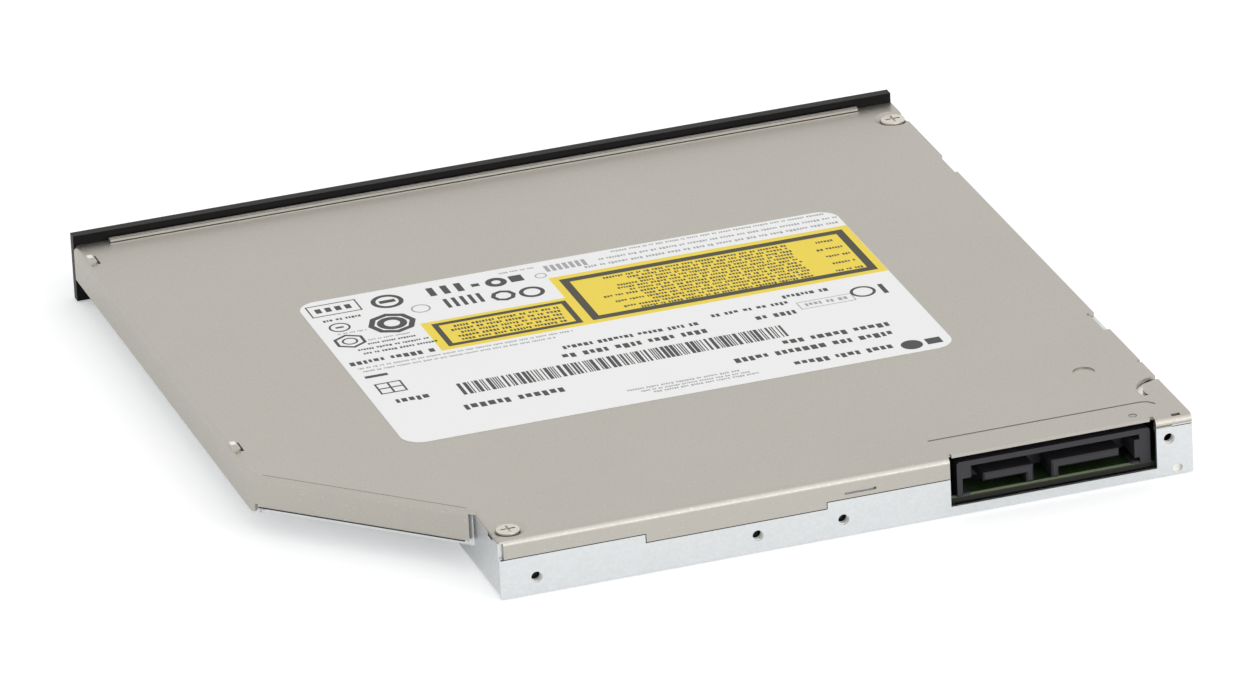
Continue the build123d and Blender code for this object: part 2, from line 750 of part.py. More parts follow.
def front_wall_cuts():
    """Openings in the tray behind the bezel: hook slots, the pocket of the switch and its openings."""
    wall_y = cover_front + tray_wall
    ahead = cover_front - 1.0
    cuts = []
    half = hook_wide / 2 + 0.1
    hook_top = hook_z + hook_thick + hook_barb
    for x in hook_xs:
        cuts.append(block(x - half, x + half, ahead, wall_y + 0.5, hook_z - 0.2, hook_top + 0.2))
    cuts.append(block(led_x - 1.7, button_x + 6.5, wall_y, wall_y + 3.2, floor_top, height))
    x0, x1, z0, z1 = button_slot(0.4)
    cuts.append(block(x0, x1, ahead, wall_y + 0.1, max(z0, tray_floor + 0.5), tray_top + 1.0))
    cuts.append(block(led_x - 1.5, led_x + 1.5, ahead, wall_y + 0.1, button_z - 0.7, button_z + 0.7))
    return cuts


def tray_frame():
    """Moulded tray: disc recess, deep tub below it, running ribs and the hole for the mechanism."""
    body = tray_shell()
    for boss in tray_bosses():
        body += boss
    body -= block(tub_side_x - tray_wall - 0.1, tub_side_x + 0.1, post[1] - 4.0, pivot[1] - 1.0,
                  lever_z[0] - 0.4, lever_z[1] + 0.4)
    for cut in front_wall_cuts():
        body -= cut
    return body


def button_slot(margin):
    """Corners of the eject button's opening in x and z, grown by a margin."""
    wide, tall = button_size
    return (button_x - wide / 2 - margin, button_x + wide / 2 + margin,
            button_z - tall / 2 - margin, button_z + tall / 2 + margin)


def lamp_slot(y0, y1):
    """The lamp window's straight opening."""
    wide, tall = led_size
    return block(led_x - wide / 2, led_x + wide / 2, y0, y1, button_z - tall / 2, button_z + tall / 2)


def bezel():
    """Moulded front plate with snap hooks, button opening, lamp window and release pinhole."""
    body = block(left, right, front, bezel_back, bezel_low, bezel_high)
    body = fillet([e for e in body.edges() if e.center().Y < front + 0.1], bezel_corner)
    barb_y = bezel_back + tray_wall + 0.15
    tip_y = bezel_back + hook_len
    top = hook_z + hook_thick
    outline = [
        (bezel_back, hook_z), (tip_y, hook_z), (tip_y, hook_z + hook_barb), (tip_y - 0.8, top + hook_barb),
        (barb_y, top + hook_barb), (barb_y, top), (bezel_back, top),
    ]
    for x in hook_xs:
        body += along_x(outline, x - hook_wide / 2, x + hook_wide / 2)
    x0, x1, z0, z1 = button_slot(button_fit)
    body -= block(x0, x1, front - 1.0, bezel_back + 1.0, z0, z1)
    body -= lamp_slot(front - 1.0, bezel_back + 1.0)
    return body - rod_y(pinhole_x, button_z, pinhole_r, front - 1.0, bezel_back + 1.0)


def eject_button():
    """Key cap with its stem and a collar that stops it behind the bezel."""
    x0, x1, z0, z1 = button_slot(0.0)
    cap = block(x0, x1, front, bezel_back + 0.2, z0, z1)
    cap = fillet([e for e in cap.edges() if e.center().Y < front + 0.01], button_round)
    over, inset = 0.25, 0.3
    collar = block(x0 - over, x1 + over, bezel_back + collar_gap, bezel_back + 0.5, z0 + inset, z1 - inset)
    half_wide, half_tall = 1.0, 0.6
    stem = block(button_x - half_wide, button_x + half_wide, bezel_back + 0.4, bezel_back + 1.4,
                 button_z - half_tall, button_z + half_tall)
    return cap + collar + stem


def led_window():
    """Clear light guide from the lamp to the bezel."""
    return lamp_slot(front + 0.1, bezel_back)


def switch_board():
    """Small board in the wing that carries the eject switch and the lamp."""
    y0 = cover_front + tray_wall + 0.1
    face_y = y0 + 1.5
    board = block(led_x - 1.5, button_x + 6.0, face_y, face_y + 0.6, floor_top + 0.05, tray_top - 1.3)
    switch = block(button_x - 1.8, button_x + 1.8, y0 + 1.0, face_y, button_z - 0.9, button_z + 0.7)
    lamp = block(led_x - 0.8, led_x + 0.8, y0 + 0.3, face_y, button_z - 0.5, button_z + 0.5)
    return board + switch + lamp


def undercover():
    """Thin steel plate that closes the tray's tub from below."""
    body = prism(tub_outline(0.15), undercover_z, tub_bottom)
    head_r, hole_r = 1.55, screw_r + 0.05
    for x, y in undercover_screws:
        body -= turned(x, y, [
            (0, 0), (head_r, 0), (head_r, undercover_z), (hole_r, tub_bottom), (hole_r, height), (0, height)])
    for i in range(vent_count):
        y = vent_first_y + i * vent_pitch
        body -= block(*vent_x, y, y + vent_wide, 0.0, height)
    return body


def chassis():
    """Pressed steel plate that carries the spindle motor, the rods and the screw."""
    u0, u1 = chassis_u
    plate = block(u0, u1, *chassis_v, chassis_z, chassis_top)
    plate = fillet(plate.edges().filter_by(Axis.Z), chassis_corner_r)
    way_half = sled_half + 0.4
    cuts = [block(13.2, guide_u[1] - 1.8, -way_half, way_half, 0.0, height)]
    cuts.append(disc(0, 0, rotor_r + 0.6, 0.0, height))
    cuts.append(block(-stepper_len - 5.5, screw_u[1] + 0.8, screw_v - 2.5, screw_v + 2.5, 0.0, height))
    cuts += [disc(u, v, damper_neck, 0.0, height) for u, v in damper_uv]
    half = holder_half + 0.1
    for v in (-rod_v, rod_v):
        cuts.append(block(guide_u[0] - 2.2, guide_u[0] + 1.0, v - half, v + half, 0.0, height))
        cuts.append(block(guide_u[1] - 2.0, guide_u[1] + 0.7, v - half, v + half, 0.0, height))
    plate -= joined(cuts)
    low = motor_base_z + motor_base_thick - 0.15
    ring = disc(0, 0, rotor_r + 3.2, low, chassis_z + 0.05) - disc(0, 0, rotor_r + 1.4, 0.0, height)
    ring = ring & block(u0, 13.0, -rotor_r, rotor_r, 0.0, height)
    return traverse(plate + ring) & block(chassis_edge_x, tub_side_x, chassis_edge_y, rear, 0.0, height)


def rod_holders():
    """Moulded blocks that clamp the ends of the guide rods."""
    u0, u1 = guide_u
    z0, z1 = guide_z - holder_half, guide_z + holder_half + 0.2
    holders = []
    for v in (-rod_v, rod_v):
        near = block(u0 - 2.0, u0 + 0.8, v - holder_half, v + holder_half, z0, z1)
        far = block(u1 - 1.4, u1 + 0.6, v - holder_half, v + holder_half, z0, z1)
        holders.append(near + far - rod_x(v, guide_z, guide_r, u0, u1))
    return traverse(joined(holders))


def guide_rod(v):
    """Ground steel rod that the pickup runs on."""
    return traverse(rod_x(v, guide_z, guide_r, *guide_u))


def motor_base():
    """Steel base plate of the spindle motor with its bearing sleeve."""
    low, top = motor_base_z - 0.15, motor_base_z + motor_base_thick - 0.15
    bore_r, bore_low = shaft_r + shaft_fit, motor_base_z + 0.1
    return turned(0, disc_y, [
        (0, low), (3.0, low), (3.0, motor_base_z), (base_r, motor_base_z), (base_r, top), (sleeve_r, top),
        (sleeve_r, sleeve_top), (bore_r, sleeve_top), (bore_r, bore_low), (0, bore_low)])


def stator():
    """Iron core with its wound teeth round the bearing sleeve."""
    z0, z1 = stator_z
    core_r, tip_r, tip_half = 4.6, 9.6, 2.2
    core = disc(0, 0, core_r, z0, z1) - disc(0, 0, sleeve_r + 0.02, 0.0, height)
    over = 0.35
    for i in range(stator_teeth):
        tooth = block(core_r - 0.3, tip_r - 0.2, -0.5, 0.5, z0, z1)
        tooth += block(tip_r - 0.7, tip_r, -tip_half, tip_half, z0, z1)
        coil = block(core_r + 0.6, tip_r - 0.9, -1.1, 1.1, z0 - over, z1 + over)
        core += Rot(0, 0, i * 360.0 / stator_teeth) * (tooth + fillet(coil.edges().filter_by(Axis.X), 0.4))
    return Pos(0, disc_y, 0) * core


def rotor():
    """Rotor cup with its magnet ring, shaft and the turntable that the disc lies on."""
    shaft_low = motor_base_z + 0.15
    cup_top = 3.7
    pad_r = turntable_r - 3.0
    pad_low = disc_plane - 0.25
    well_r, well_z = 3.2, hub_top - 1.2
    cup = turned(0, disc_y, [
        (0, shaft_low), (shaft_r, shaft_low), (shaft_r, cup_top), (rotor_inner_r, cup_top),
        (rotor_inner_r, rotor_low), (rotor_r, rotor_low), (rotor_r, 4.6), (turntable_r, 4.9),
        (turntable_r, disc_plane), (pad_r, disc_plane), (pad_r, pad_low), (hub_r, pad_low),
        (hub_r, hub_top - 0.9), (hub_r - 0.9, hub_top), (well_r, hub_top), (well_r, well_z), (0, well_z)])
    for i in range(claw_count):
        slot = block(3.6, hub_r + 1.0, -1.35, 1.35, claw_z[0] - 0.15, claw_z[1] + 0.15)
        cup -= Pos(0, disc_y, 0) * Rot(0, 0, i * 360.0 / claw_count) * slot
    return cup


def claw(i):
    """Sprung claw that holds the disc's centre hole."""
    low, top = claw_z
    root, tip, half = 4.2, hub_r + 0.4, 1.2
    outline = [
        (root, low), (hub_r - 0.35, low), (tip, low + 0.5), (tip, low + 0.7), (hub_r - 0.15, top), (root, top),
    ]
    face = make_face(Polyline(*[(r, -half, z) for r, z in outline], close=True))
    solid = extrude(face, 2 * half, dir=(0, 1, 0))
    return Pos(0, disc_y, 0) * Rot(0, 0, i * 360.0 / claw_count) * solid


def sled():
    """Die-cast pickup body on its two rods, with the nut arm that rides in the screw."""
    u0, u1 = sled_inner_r - sled_behind, sled_inner_r + sled_ahead
    z0, z1 = sled_z
    body = block(u0, u1, -sled_half, sled_half, z0, z1)
    body = chamfer(body.edges().filter_by(Axis.Z), 1.2)
    body -= disc(0, 0, base_r + 0.4, 0.0, height)
    body -= block(sled_inner_r - 5.2, sled_inner_r + 4.2, -6.6, 6.6, z0 + 0.8, height)
    for side in (-1, 1):
        body -= block(u0 + 1.6, u1 - 1.6, side * 8.2, side * 12.2, z0 + 1.4, height)
        body -= block(u0 + 3.2, u1 - 3.2, side * (rod_v - 1.6), side * (sled_half + 1.0), z0 - 1.0, height)
    for v in (-rod_v, rod_v):
        body -= rod_x(v, guide_z, guide_r + 0.05, 0.0, 2 * recess_r)
    a0, a1 = u0 + 0.2, u0 + 3.0
    face_v = screw_v - screw_thread_r - 0.12
    arm = block(a0, a1, sled_half - 1.5, face_v, screw_z + 0.3, z1)
    arm += block(a0, a1, screw_v - 2.2, face_v, screw_z - 1.0, z1)
    return traverse(body + arm)


def lens_holder():
    """Moving part of the pickup: moulded frame, two coils and the objective lens."""
    c = sled_inner_r
    low, top = 3.2, 4.9
    body = block(c - 4.0, c + 3.4, -3.6, 3.6, low, top)
    body = fillet(body.edges().filter_by(Axis.Z), 1.0)
    body += disc(c, 0, 2.6, top - 0.1, top + 0.4)
    body -= disc(c, 0, 2.0, lens_seat_z, top + 1.0)
    body -= disc(c, 0, 1.5, low - 0.2, top + 1.0)
    for side in (-1, 1):
        body += block(c - 3.0, c + 2.4, side * 3.5, side * 4.9, low - 0.2, top - 0.3)
    return traverse(body)


def lens():
    """Objective lens in its seat."""
    z = lens_seat_z
    section = [(0, z), (1.98, z), (1.98, z + 0.4), (1.3, z + 0.75), (0, z + 0.85)]
    return traverse(turned(sled_inner_r, 0, section))


def magnets():
    """Yoke and magnets on each side of the moving lens frame."""
    c = sled_inner_r
    return traverse(joined([
        block(c - 3.4, c + 2.8, side * 5.2, side * 6.5, sled_z[0] + 0.8, sled_z[1] - 0.1) for side in (-1, 1)]))


def lead_screw():
    """Screw that drives the pickup: a shaft with a shallow rolled groove at its pitch."""
    u0, u1 = screw_u
    body = rod_x(screw_v, screw_z, screw_thread_r, u0, u1)
    plain = 4.0
    turns = int((u1 - u0 - 1.5 * plain) / screw_pitch)
    for i in range(turns):
        u = u0 + plain + i * screw_pitch
        ring = rod_x(screw_v, screw_z, screw_thread_r + 0.1, u, u + screw_groove)
        body -= ring - rod_x(screw_v, screw_z, screw_thread_r - 0.2, u, u + screw_groove)
    return traverse(body)


def stepper_motor():
    """Stepper can, its front plate and the bracket with the screw's end bearing."""
    u1 = screw_u[0] - 0.2
    end_u = screw_u[1] + 0.1
    low = chassis_z - 0.45
    v0, v1 = screw_v + 1.3, screw_v + 2.3
    body = joined([
        rod_x(screw_v, screw_z, stepper_r, u1 - stepper_len, u1),
        block(u1, u1 + plate_thick, screw_v - 2.3, v1, chassis_z, screw_z + 1.9),
        block(u1, end_u + plate_thick, v0, screw_v + 3.6, low, chassis_z),
        block(u1, u1 + plate_thick, v0, v1, low, chassis_z + 0.1),
        block(end_u, end_u + plate_thick, screw_v - 1.6, v1, low, screw_z + 1.6),
    ])
    return traverse(body - rod_x(screw_v, screw_z, screw_thread_r + 0.05, u1, screw_u[1]))


def dampers():
    """Rubber grommets that carry the chassis under the tray."""
    return traverse(joined([turned(u, v, [
        (damper_bore, damper_low), (damper_r, damper_low), (damper_r, chassis_z), (damper_neck, chassis_z),
        (damper_neck, chassis_top), (damper_r, chassis_top), (damper_r, damper_top), (damper_bore, damper_top),
    ]) for u, v in damper_uv]))


def damper_screws():
    """Shoulder screws of the grommets."""
    return traverse(joined([
        disc(u, v, 1.7, damper_low - 0.35, damper_low) + disc(u, v, damper_pin_r, damper_low, tray_floor - 0.1)
        for u, v in damper_uv]))


def main_board():
    """Control board under the tray floor, cut to pass the spindle."""
    x0, x1 = cut_x + tray_wall + 1.5, tub_side_x - tray_wall - 0.6
    y0, y1 = main_board_front, tray_back - tray_wall - 0.5
    lean = main_board_lean
    outline = [(x0, lean - x0), (lean - y0, y0), (x1, y0), (x1, y1), (x0, y1)]
    body = prism(outline, main_board_z, main_board_z + board_thick)
    for x, y in main_board_screws:
        body -= disc(x, y, 0.75, 0.0, height)
    return body


def main_chips():
    """Chips, coil and sockets soldered under the control board."""
    chips = []
    for x, y, wide, deep, tall in chip_places:
        chip = block(x - wide / 2, x + wide / 2, y - deep / 2, y + deep / 2, main_board_z - tall, main_board_z)
        chips.append(chamfer(chip.edges().filter_by(Axis.Z), 0.2))
    return joined(chips)


def board_screws():
    """Pan-head screws of the control board."""
    return joined([
        disc(x, y, 1.4, main_board_z - 0.6, main_board_z) + disc(x, y, 0.55, main_board_z, tray_floor - 0.1)
        for x, y in main_board_screws])


def latch_lever():
    """Catch lever on the tray: a hook for the post and a tail for the solenoid."""
    px, py = pivot
    tip_x, tip_y = px + hook_reach[0], py + hook_reach[1]
    arm = prism([
        (px - 1.2, py + 1.0), (px + 1.3, py + 0.6), (tip_x + 0.5, tip_y + 0.4), (tip_x + 0.5, tip_y - 0.2),
        (tip_x - 0.9, tip_y - 0.6), (tip_x - 2.2, tip_y + 0.9), (px - 1.4, py - 1.4),
    ], *lever_z)
    arm += disc(tip_x, tip_y, 0.6, *lever_z)
    arm += disc(px, py, boss_r, *lever_z)
    arm += block(px - tail_len - 0.8, px, py - 0.8, py + 0.8, *lever_z)
    return arm - disc(px, py, pivot_r + shaft_fit, 0.0, height)


def solenoid():
    """Coil box that pulls the catch lever."""
    x, y0, y1 = pivot[0] - tail_len, pivot[1] - 12.5, pivot[1] - 3.0
    low, plate, over = tub_bottom + 0.2, 0.4, 3.4
    can = block(x - 3.0, x + 3.0, y0, y1, low, tray_floor - 0.2)
    can = fillet(can.edges().filter_by(Axis.Y), 0.7)
    can += block(x - over, x + over, y1, y1 + plate, low, tray_floor)
    can += block(x - over, x + over, y0 - plate, y0, low, tray_floor)
    return can - rod_y(x, lever_mid_z, plunger_r + 0.05, y0 + 2.0, y1 + 1.0)


def plunger():
    """Steel plunger between the solenoid and the lever's tail."""
    return rod_y(pivot[0] - tail_len, lever_mid_z, plunger_r, pivot[1] - 7.5, pivot[1] - 0.9)


def catch_post():
    """Steel post riveted to the floor of the housing, which the lever hooks."""
    return disc(*post, post_r, sheet, post_top) + disc(*post, 1.5, sheet, sheet + 0.4)


def host_board():
    """Small board behind the rear wall that carries the host connector."""
    body = block(*connector_board, connector_board_z, connector_board_top)
    for x, y in host_board_screws:
        body -= disc(x, y, 0.75, 0.0, height)
    return body


def host_parts():
    """Ribbon socket, capacitors and the solder feet on the connector board."""
    top = connector_board_top
    x0, y0 = connector_board[0], connector_board[2]
    near, far = ribbon_socket
    parts = [block(ribbon_x[0] - 1.0, ribbon_x[1] + 1.0, y0 + near, y0 + far, top, top + 1.1)]
    for i in range(5):
        x = x0 + 6.0 + i * 3.2
        parts.append(block(x, x + 1.6, y0 + 6.0, y0 + 6.8, top, top + 0.7))
    for x in (shroud[0] + guide_left[0] + 0.1, shroud[1] - shroud_wall - 0.1 - foot_wide):
        parts.append(block(x, x + foot_wide, shroud[2] + 5.6, shroud[3] - 0.2, top, top + foot_high))
    return joined(parts)


def host_screws():
    """Screws of the connector board."""
    top = connector_board_top
    return joined([
        disc(x, y, 1.5, top, top + 0.6) + disc(x, y, screw_r, sheet + 0.1, top) for x, y in host_board_screws])


def host_connector():
    """Moulded body with a roof, side walls and two keyed tongues for data and power."""
    x0, x1, y0, y1 = shroud
    z0, z1 = shroud_z
    t = shroud_wall
    wall, guide, guide_low, guide_high = guide_left
    body = joined([
        block(x0, x1, y0, y1, z1 - t, z1), block(x0, x1, y0, y0 + shroud_back, z0, z1),
        block(x0, x0 + wall, y0, y1, z0, z1), block(x1 - t, x1, y0, y1, z0, z1),
        block(x0, x0 + wall + guide, y0, y1, guide_low, guide_high),
        block(x1 - t - guide_right[0], x1, y0, y1, guide_right[1], z1),
    ])
    body = fillet([e for e in body.edges().filter_by(Axis.Y) if e.center().Z > z1 - 0.01], shroud_round)
    low, high = tongue_z
    root = y0 + shroud_back - 0.4
    for tx0, tx1, key_x in ((*power_tongue, power_tongue[0]), (*signal_tongue, signal_tongue[1] - key_wide)):
        shape = block(tx0, tx1, root, tongue_front, low, high)
        shape += block(key_x, key_x + key_wide, root, tongue_front, low - key_drop, high)
        body += chamfer([e for e in shape.edges() if e.center().Y > tongue_front - 0.01], tongue_edge)
    return body - block(x0 + wall, x1 - t, y0 + 2.4, y0 + shroud_back + 0.2, z0 - 1.0, z0 + 0.6)


def contacts():
    """Gilt contact strips on the tongues."""
    low = tongue_z[0]
    near, far = 0.7, 1.5
    strips = []
    for (tx0, tx1), count, key_left in ((power_tongue, 6, True), (signal_tongue, 7, False)):
        start = tx0 + (far if key_left else near)
        stop = tx1 - (near if key_left else far)
        for i in range(count):
            x = start + (stop - start) * i / (count - 1)
            strips.append(block(x - contact_half, x + contact_half, shroud[2] + shroud_back, tongue_front - 0.5,
                                low - contact_thick, low))
    return joined(strips)


def ribbon_lower():
    """Flat ribbon from the connector board, laid on the floor of the housing."""
    y0 = connector_board[2]
    top = connector_board_top
    t = ribbon_thick
    socket_y = y0 + ribbon_socket[0]
    return along_x([
        (ribbon_front, ribbon_z), (y0 - 2.0, ribbon_z), (y0, top), (socket_y, top), (socket_y, top + t),
        (y0 - 0.2, top + t), (y0 - 2.2, ribbon_z + t), (ribbon_front, ribbon_z + t),
    ], *ribbon_x)


def cover_screw_set():
    """The two flat-headed screws that hold the top cover."""
    low = height - dish_depth
    top = low + screw_head
    screws = []
    for x, y, r in cover_screws:
        head = disc(x, y, r, low, top)
        head = fillet(edges_at(head, top), head_round)
        reach, half, bed = 0.62 * r, cross_half, top - cross_deep
        cross = block(x - reach, x + reach, y - half, y + half, bed, top + 1.0)
        cross += block(x - half, x + half, y - reach, y + reach, bed, top + 1.0)
        screws.append(head - cross + disc(x, y, screw_r, tab_z + 0.05, low))
    return joined(screws)


def undercover_screw_set():
    """Countersunk screws of the tray's lower plate."""
    top = undercover_screw_top
    return joined([
        turned(x, y, [(0, undercover_z), (1.5, undercover_z), (screw_r, tub_bottom), (screw_r, top), (0, top)])
        for x, y in undercover_screws])


PIECES = {
    "top_cover": top_cover,
    "bottom_cover": bottom_cover,
    "label": label,
    "cover_screws": cover_screw_set,
    "outer_rail_left": lambda: outer_rail(rails["left"]),
    "outer_rail_right": lambda: outer_rail(rails["right"]),
    "catch_post": catch_post,
    "host_board": host_board,
    "host_board_parts": host_parts,
    "host_board_screws": host_screws,
    "host_connector": host_connector,
    "connector_contacts": contacts,
    "ribbon_lower": ribbon_lower,
    "middle_rail_left": lambda: middle_rail(rails["left"]),
    "middle_rail_right": lambda: middle_rail(rails["right"]),
    "tray_frame": tray_frame,
    "bezel": bezel,
    "led_window": led_window,
    "switch_board": switch_board,
    "undercover": undercover,
    "undercover_screws": undercover_screw_set,
    "traverse_chassis": chassis,
    "rod_holders": rod_holders,
    "guide_rod_inner": lambda: guide_rod(-rod_v),
    "guide_rod_outer": lambda: guide_rod(rod_v),
    "motor_base": motor_base,
    "stator": stator,
    "stepper_motor": stepper_motor,
    "dampers": dampers,
    "damper_screws": damper_screws,
    "main_board": main_board,
    "main_board_chips": main_chips,
    "main_board_screws": board_screws,
    "solenoid": solenoid,
    "eject_button": eject_button,
    "rotor": rotor,
    "claw_1": lambda: claw(0),
    "claw_2": lambda: claw(1),
    "claw_3": lambda: claw(2),
    "pickup_sled": sled,
    "pickup_magnets": magnets,
    "lens_holder": lens_holder,
    "lens": lens,
    "lead_screw": lead_screw,
    "latch_lever": latch_lever,
    "solenoid_plunger": plunger,
}

for name, make in PIECES.items():
    export_step(make(), f"parts/{name}.step")
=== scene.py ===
import json
import math
import random

import bpy
from mathutils import Matrix, Vector


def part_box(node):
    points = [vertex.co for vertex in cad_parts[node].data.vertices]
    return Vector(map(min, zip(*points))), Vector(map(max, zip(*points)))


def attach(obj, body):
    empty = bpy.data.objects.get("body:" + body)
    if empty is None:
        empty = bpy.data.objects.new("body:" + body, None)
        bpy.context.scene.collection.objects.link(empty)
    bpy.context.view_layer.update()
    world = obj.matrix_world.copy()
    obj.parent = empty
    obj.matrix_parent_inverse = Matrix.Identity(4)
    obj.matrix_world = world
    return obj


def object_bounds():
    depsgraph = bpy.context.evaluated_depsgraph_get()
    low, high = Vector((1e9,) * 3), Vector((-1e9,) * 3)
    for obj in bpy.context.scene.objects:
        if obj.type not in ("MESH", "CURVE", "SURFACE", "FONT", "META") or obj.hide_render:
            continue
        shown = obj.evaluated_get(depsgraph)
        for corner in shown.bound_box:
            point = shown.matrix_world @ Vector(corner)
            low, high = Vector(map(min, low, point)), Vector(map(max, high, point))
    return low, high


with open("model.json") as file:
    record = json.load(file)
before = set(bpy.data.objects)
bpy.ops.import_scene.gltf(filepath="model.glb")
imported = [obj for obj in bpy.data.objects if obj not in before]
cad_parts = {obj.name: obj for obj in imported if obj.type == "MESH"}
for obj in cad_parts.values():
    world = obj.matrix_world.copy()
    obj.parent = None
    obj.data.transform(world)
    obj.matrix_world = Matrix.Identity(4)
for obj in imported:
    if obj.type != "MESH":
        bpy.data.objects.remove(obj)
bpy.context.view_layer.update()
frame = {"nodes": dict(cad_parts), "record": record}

MM = 0.001

# The photograph's frame, and the camera that fits the drive in it (metres)
PHOTO_WIDTH = 1239
SENSOR = 36.0
FOCAL_PIXELS = 11253.2
CAMERA_PLACE = Vector((0.4454, 1.4131, 0.6651))
CAMERA_TARGET = Vector((-0.0016, -0.0046, 0.0045))
CAMERA_ROLL = math.radians(-2.95)
CAMERA_REACH = 20.0

# Colour sockets of a Mix node: two inputs and the output
MIX_A = 6
MIX_B = 7
MIX_OUT = 2


# Materials

def linear(hex_colour):
    """An sRGB hex colour as linear RGBA."""
    parts = [int(hex_colour[i:i + 2], 16) / 255 for i in (1, 3, 5)]
    return tuple(c / 12.92 if c <= 0.04045 else ((c + 0.055) / 1.055) ** 2.4 for c in parts) + (1.0,)


def add(tree, kind, inputs=None, **settings):
    """Adds a node with its settings, and its inputs as values or links."""
    node = tree.nodes.new(kind)
    for key, value in settings.items():
        setattr(node, key, value)
    for key, value in (inputs or {}).items():
        if isinstance(value, bpy.types.NodeSocket):
            tree.links.new(value, node.inputs[key])
        else:
            node.inputs[key].default_value = value
    return node


def blank(name):
    """A new material with a Principled shader: (material, tree, shader, object coordinates)."""
    material = bpy.data.materials.new(name)
    material.use_nodes = True
    tree = material.node_tree
    tree.nodes.clear()
    shader = add(tree, "ShaderNodeBsdfPrincipled")
    add(tree, "ShaderNodeOutputMaterial", {"Surface": shader.outputs["BSDF"]})
    place = add(tree, "ShaderNodeTexCoord").outputs["Object"]
    return material, tree, shader, place


def per_mm(size):
    """Noise scale that gives features of about this many millimetres."""
    return 1.0 / (size * MM)


def surface(name, base, second, *, roughness, cloud, grain, bump, metallic=0.0, spread=0.06, stretch=(1, 1, 1),
            speck=None):
    """A finish of two close colours in clouds, with a fine grain in its roughness and bump.

    cloud and grain are sizes in millimetres, stretch draws the grain out, and spread is how far the roughness
    strays. speck adds fine specks: (size in millimetres, colour, strength).
    """
    material, tree, shader, place = blank(name)
    drawn = add(tree, "ShaderNodeMapping", {"Vector": place, "Scale": stretch}).outputs["Vector"]
    clouds = add(tree, "ShaderNodeTexNoise",
                 {"Vector": place, "Scale": per_mm(cloud), "Detail": 5.0, "Roughness": 0.62})
    fine = add(tree, "ShaderNodeTexNoise",
               {"Vector": drawn, "Scale": per_mm(grain), "Detail": 3.0, "Roughness": 0.6})
    shade = add(tree, "ShaderNodeMix",
                {"Factor": clouds.outputs["Fac"], MIX_A: linear(base), MIX_B: linear(second)}, data_type="RGBA")
    colour = shade.outputs[MIX_OUT]
    if speck:
        size, tint, strength = speck
        dots = add(tree, "ShaderNodeTexNoise",
                   {"Vector": place, "Scale": per_mm(size), "Detail": 1.0, "Roughness": 0.4})
        mask = add(tree, "ShaderNodeMapRange",
                   {"Value": dots.outputs["Fac"], "From Min": 0.68, "From Max": 0.78, "To Max": strength})
        tinted = add(tree, "ShaderNodeMix",
                     {"Factor": mask.outputs["Result"], MIX_A: colour, MIX_B: linear(tint)}, data_type="RGBA")
        colour = tinted.outputs[MIX_OUT]
    tree.links.new(colour, shader.inputs["Base Color"])
    shader.inputs["Metallic"].default_value = metallic
    rough = add(tree, "ShaderNodeMapRange",
                {"Value": fine.outputs["Fac"], "From Min": 0.3, "From Max": 0.7,
                 "To Min": roughness - spread, "To Max": roughness + spread})
    tree.links.new(rough.outputs["Result"], shader.inputs["Roughness"])
    relief = add(tree, "ShaderNodeBump", {"Height": fine.outputs["Fac"], "Strength": bump, "Distance": 0.02 * MM})
    tree.links.new(relief.outputs["Normal"], shader.inputs["Normal"])
    return material


def moulded(name, base, second, roughness, grain=0.18, bump=0.55):
    """Injection-moulded plastic with the fine spark-eroded texture of its tool."""
    return surface(name, base, second, roughness=roughness, cloud=12.0, grain=grain, bump=bump, spread=0.05)


def clear_part(name, tint, roughness):
    """Clear moulded plastic or coated glass, faintly tinted."""
    material, tree, shader, place = blank(name)
    haze = add(tree, "ShaderNodeTexNoise", {"Vector": place, "Scale": per_mm(0.8), "Detail": 2.0})
    shade = add(tree, "ShaderNodeMix",
                {"Factor": haze.outputs["Fac"], MIX_A: linear(tint), MIX_B: linear("#FFFFFF")}, data_type="RGBA")
    tree.links.new(shade.outputs[MIX_OUT], shader.inputs["Base Color"])
    shader.inputs["Roughness"].default_value = roughness
    shader.inputs["Transmission Weight"].default_value = 0.75
    shader.inputs["IOR"].default_value = 1.5
    return material


def top_sheet():
    """Satin zinc-nickel plated steel: warm grey with a fine rolled grain and a few pale specks."""
    return surface("satin_plated_steel", "#BCB8B0", "#B7B3AB", metallic=1.0, roughness=0.42, cloud=22.0, grain=0.3,
                   bump=0.3, stretch=(1.0, 0.35, 1.0), speck=(0.28, "#F8F5EE", 0.3))


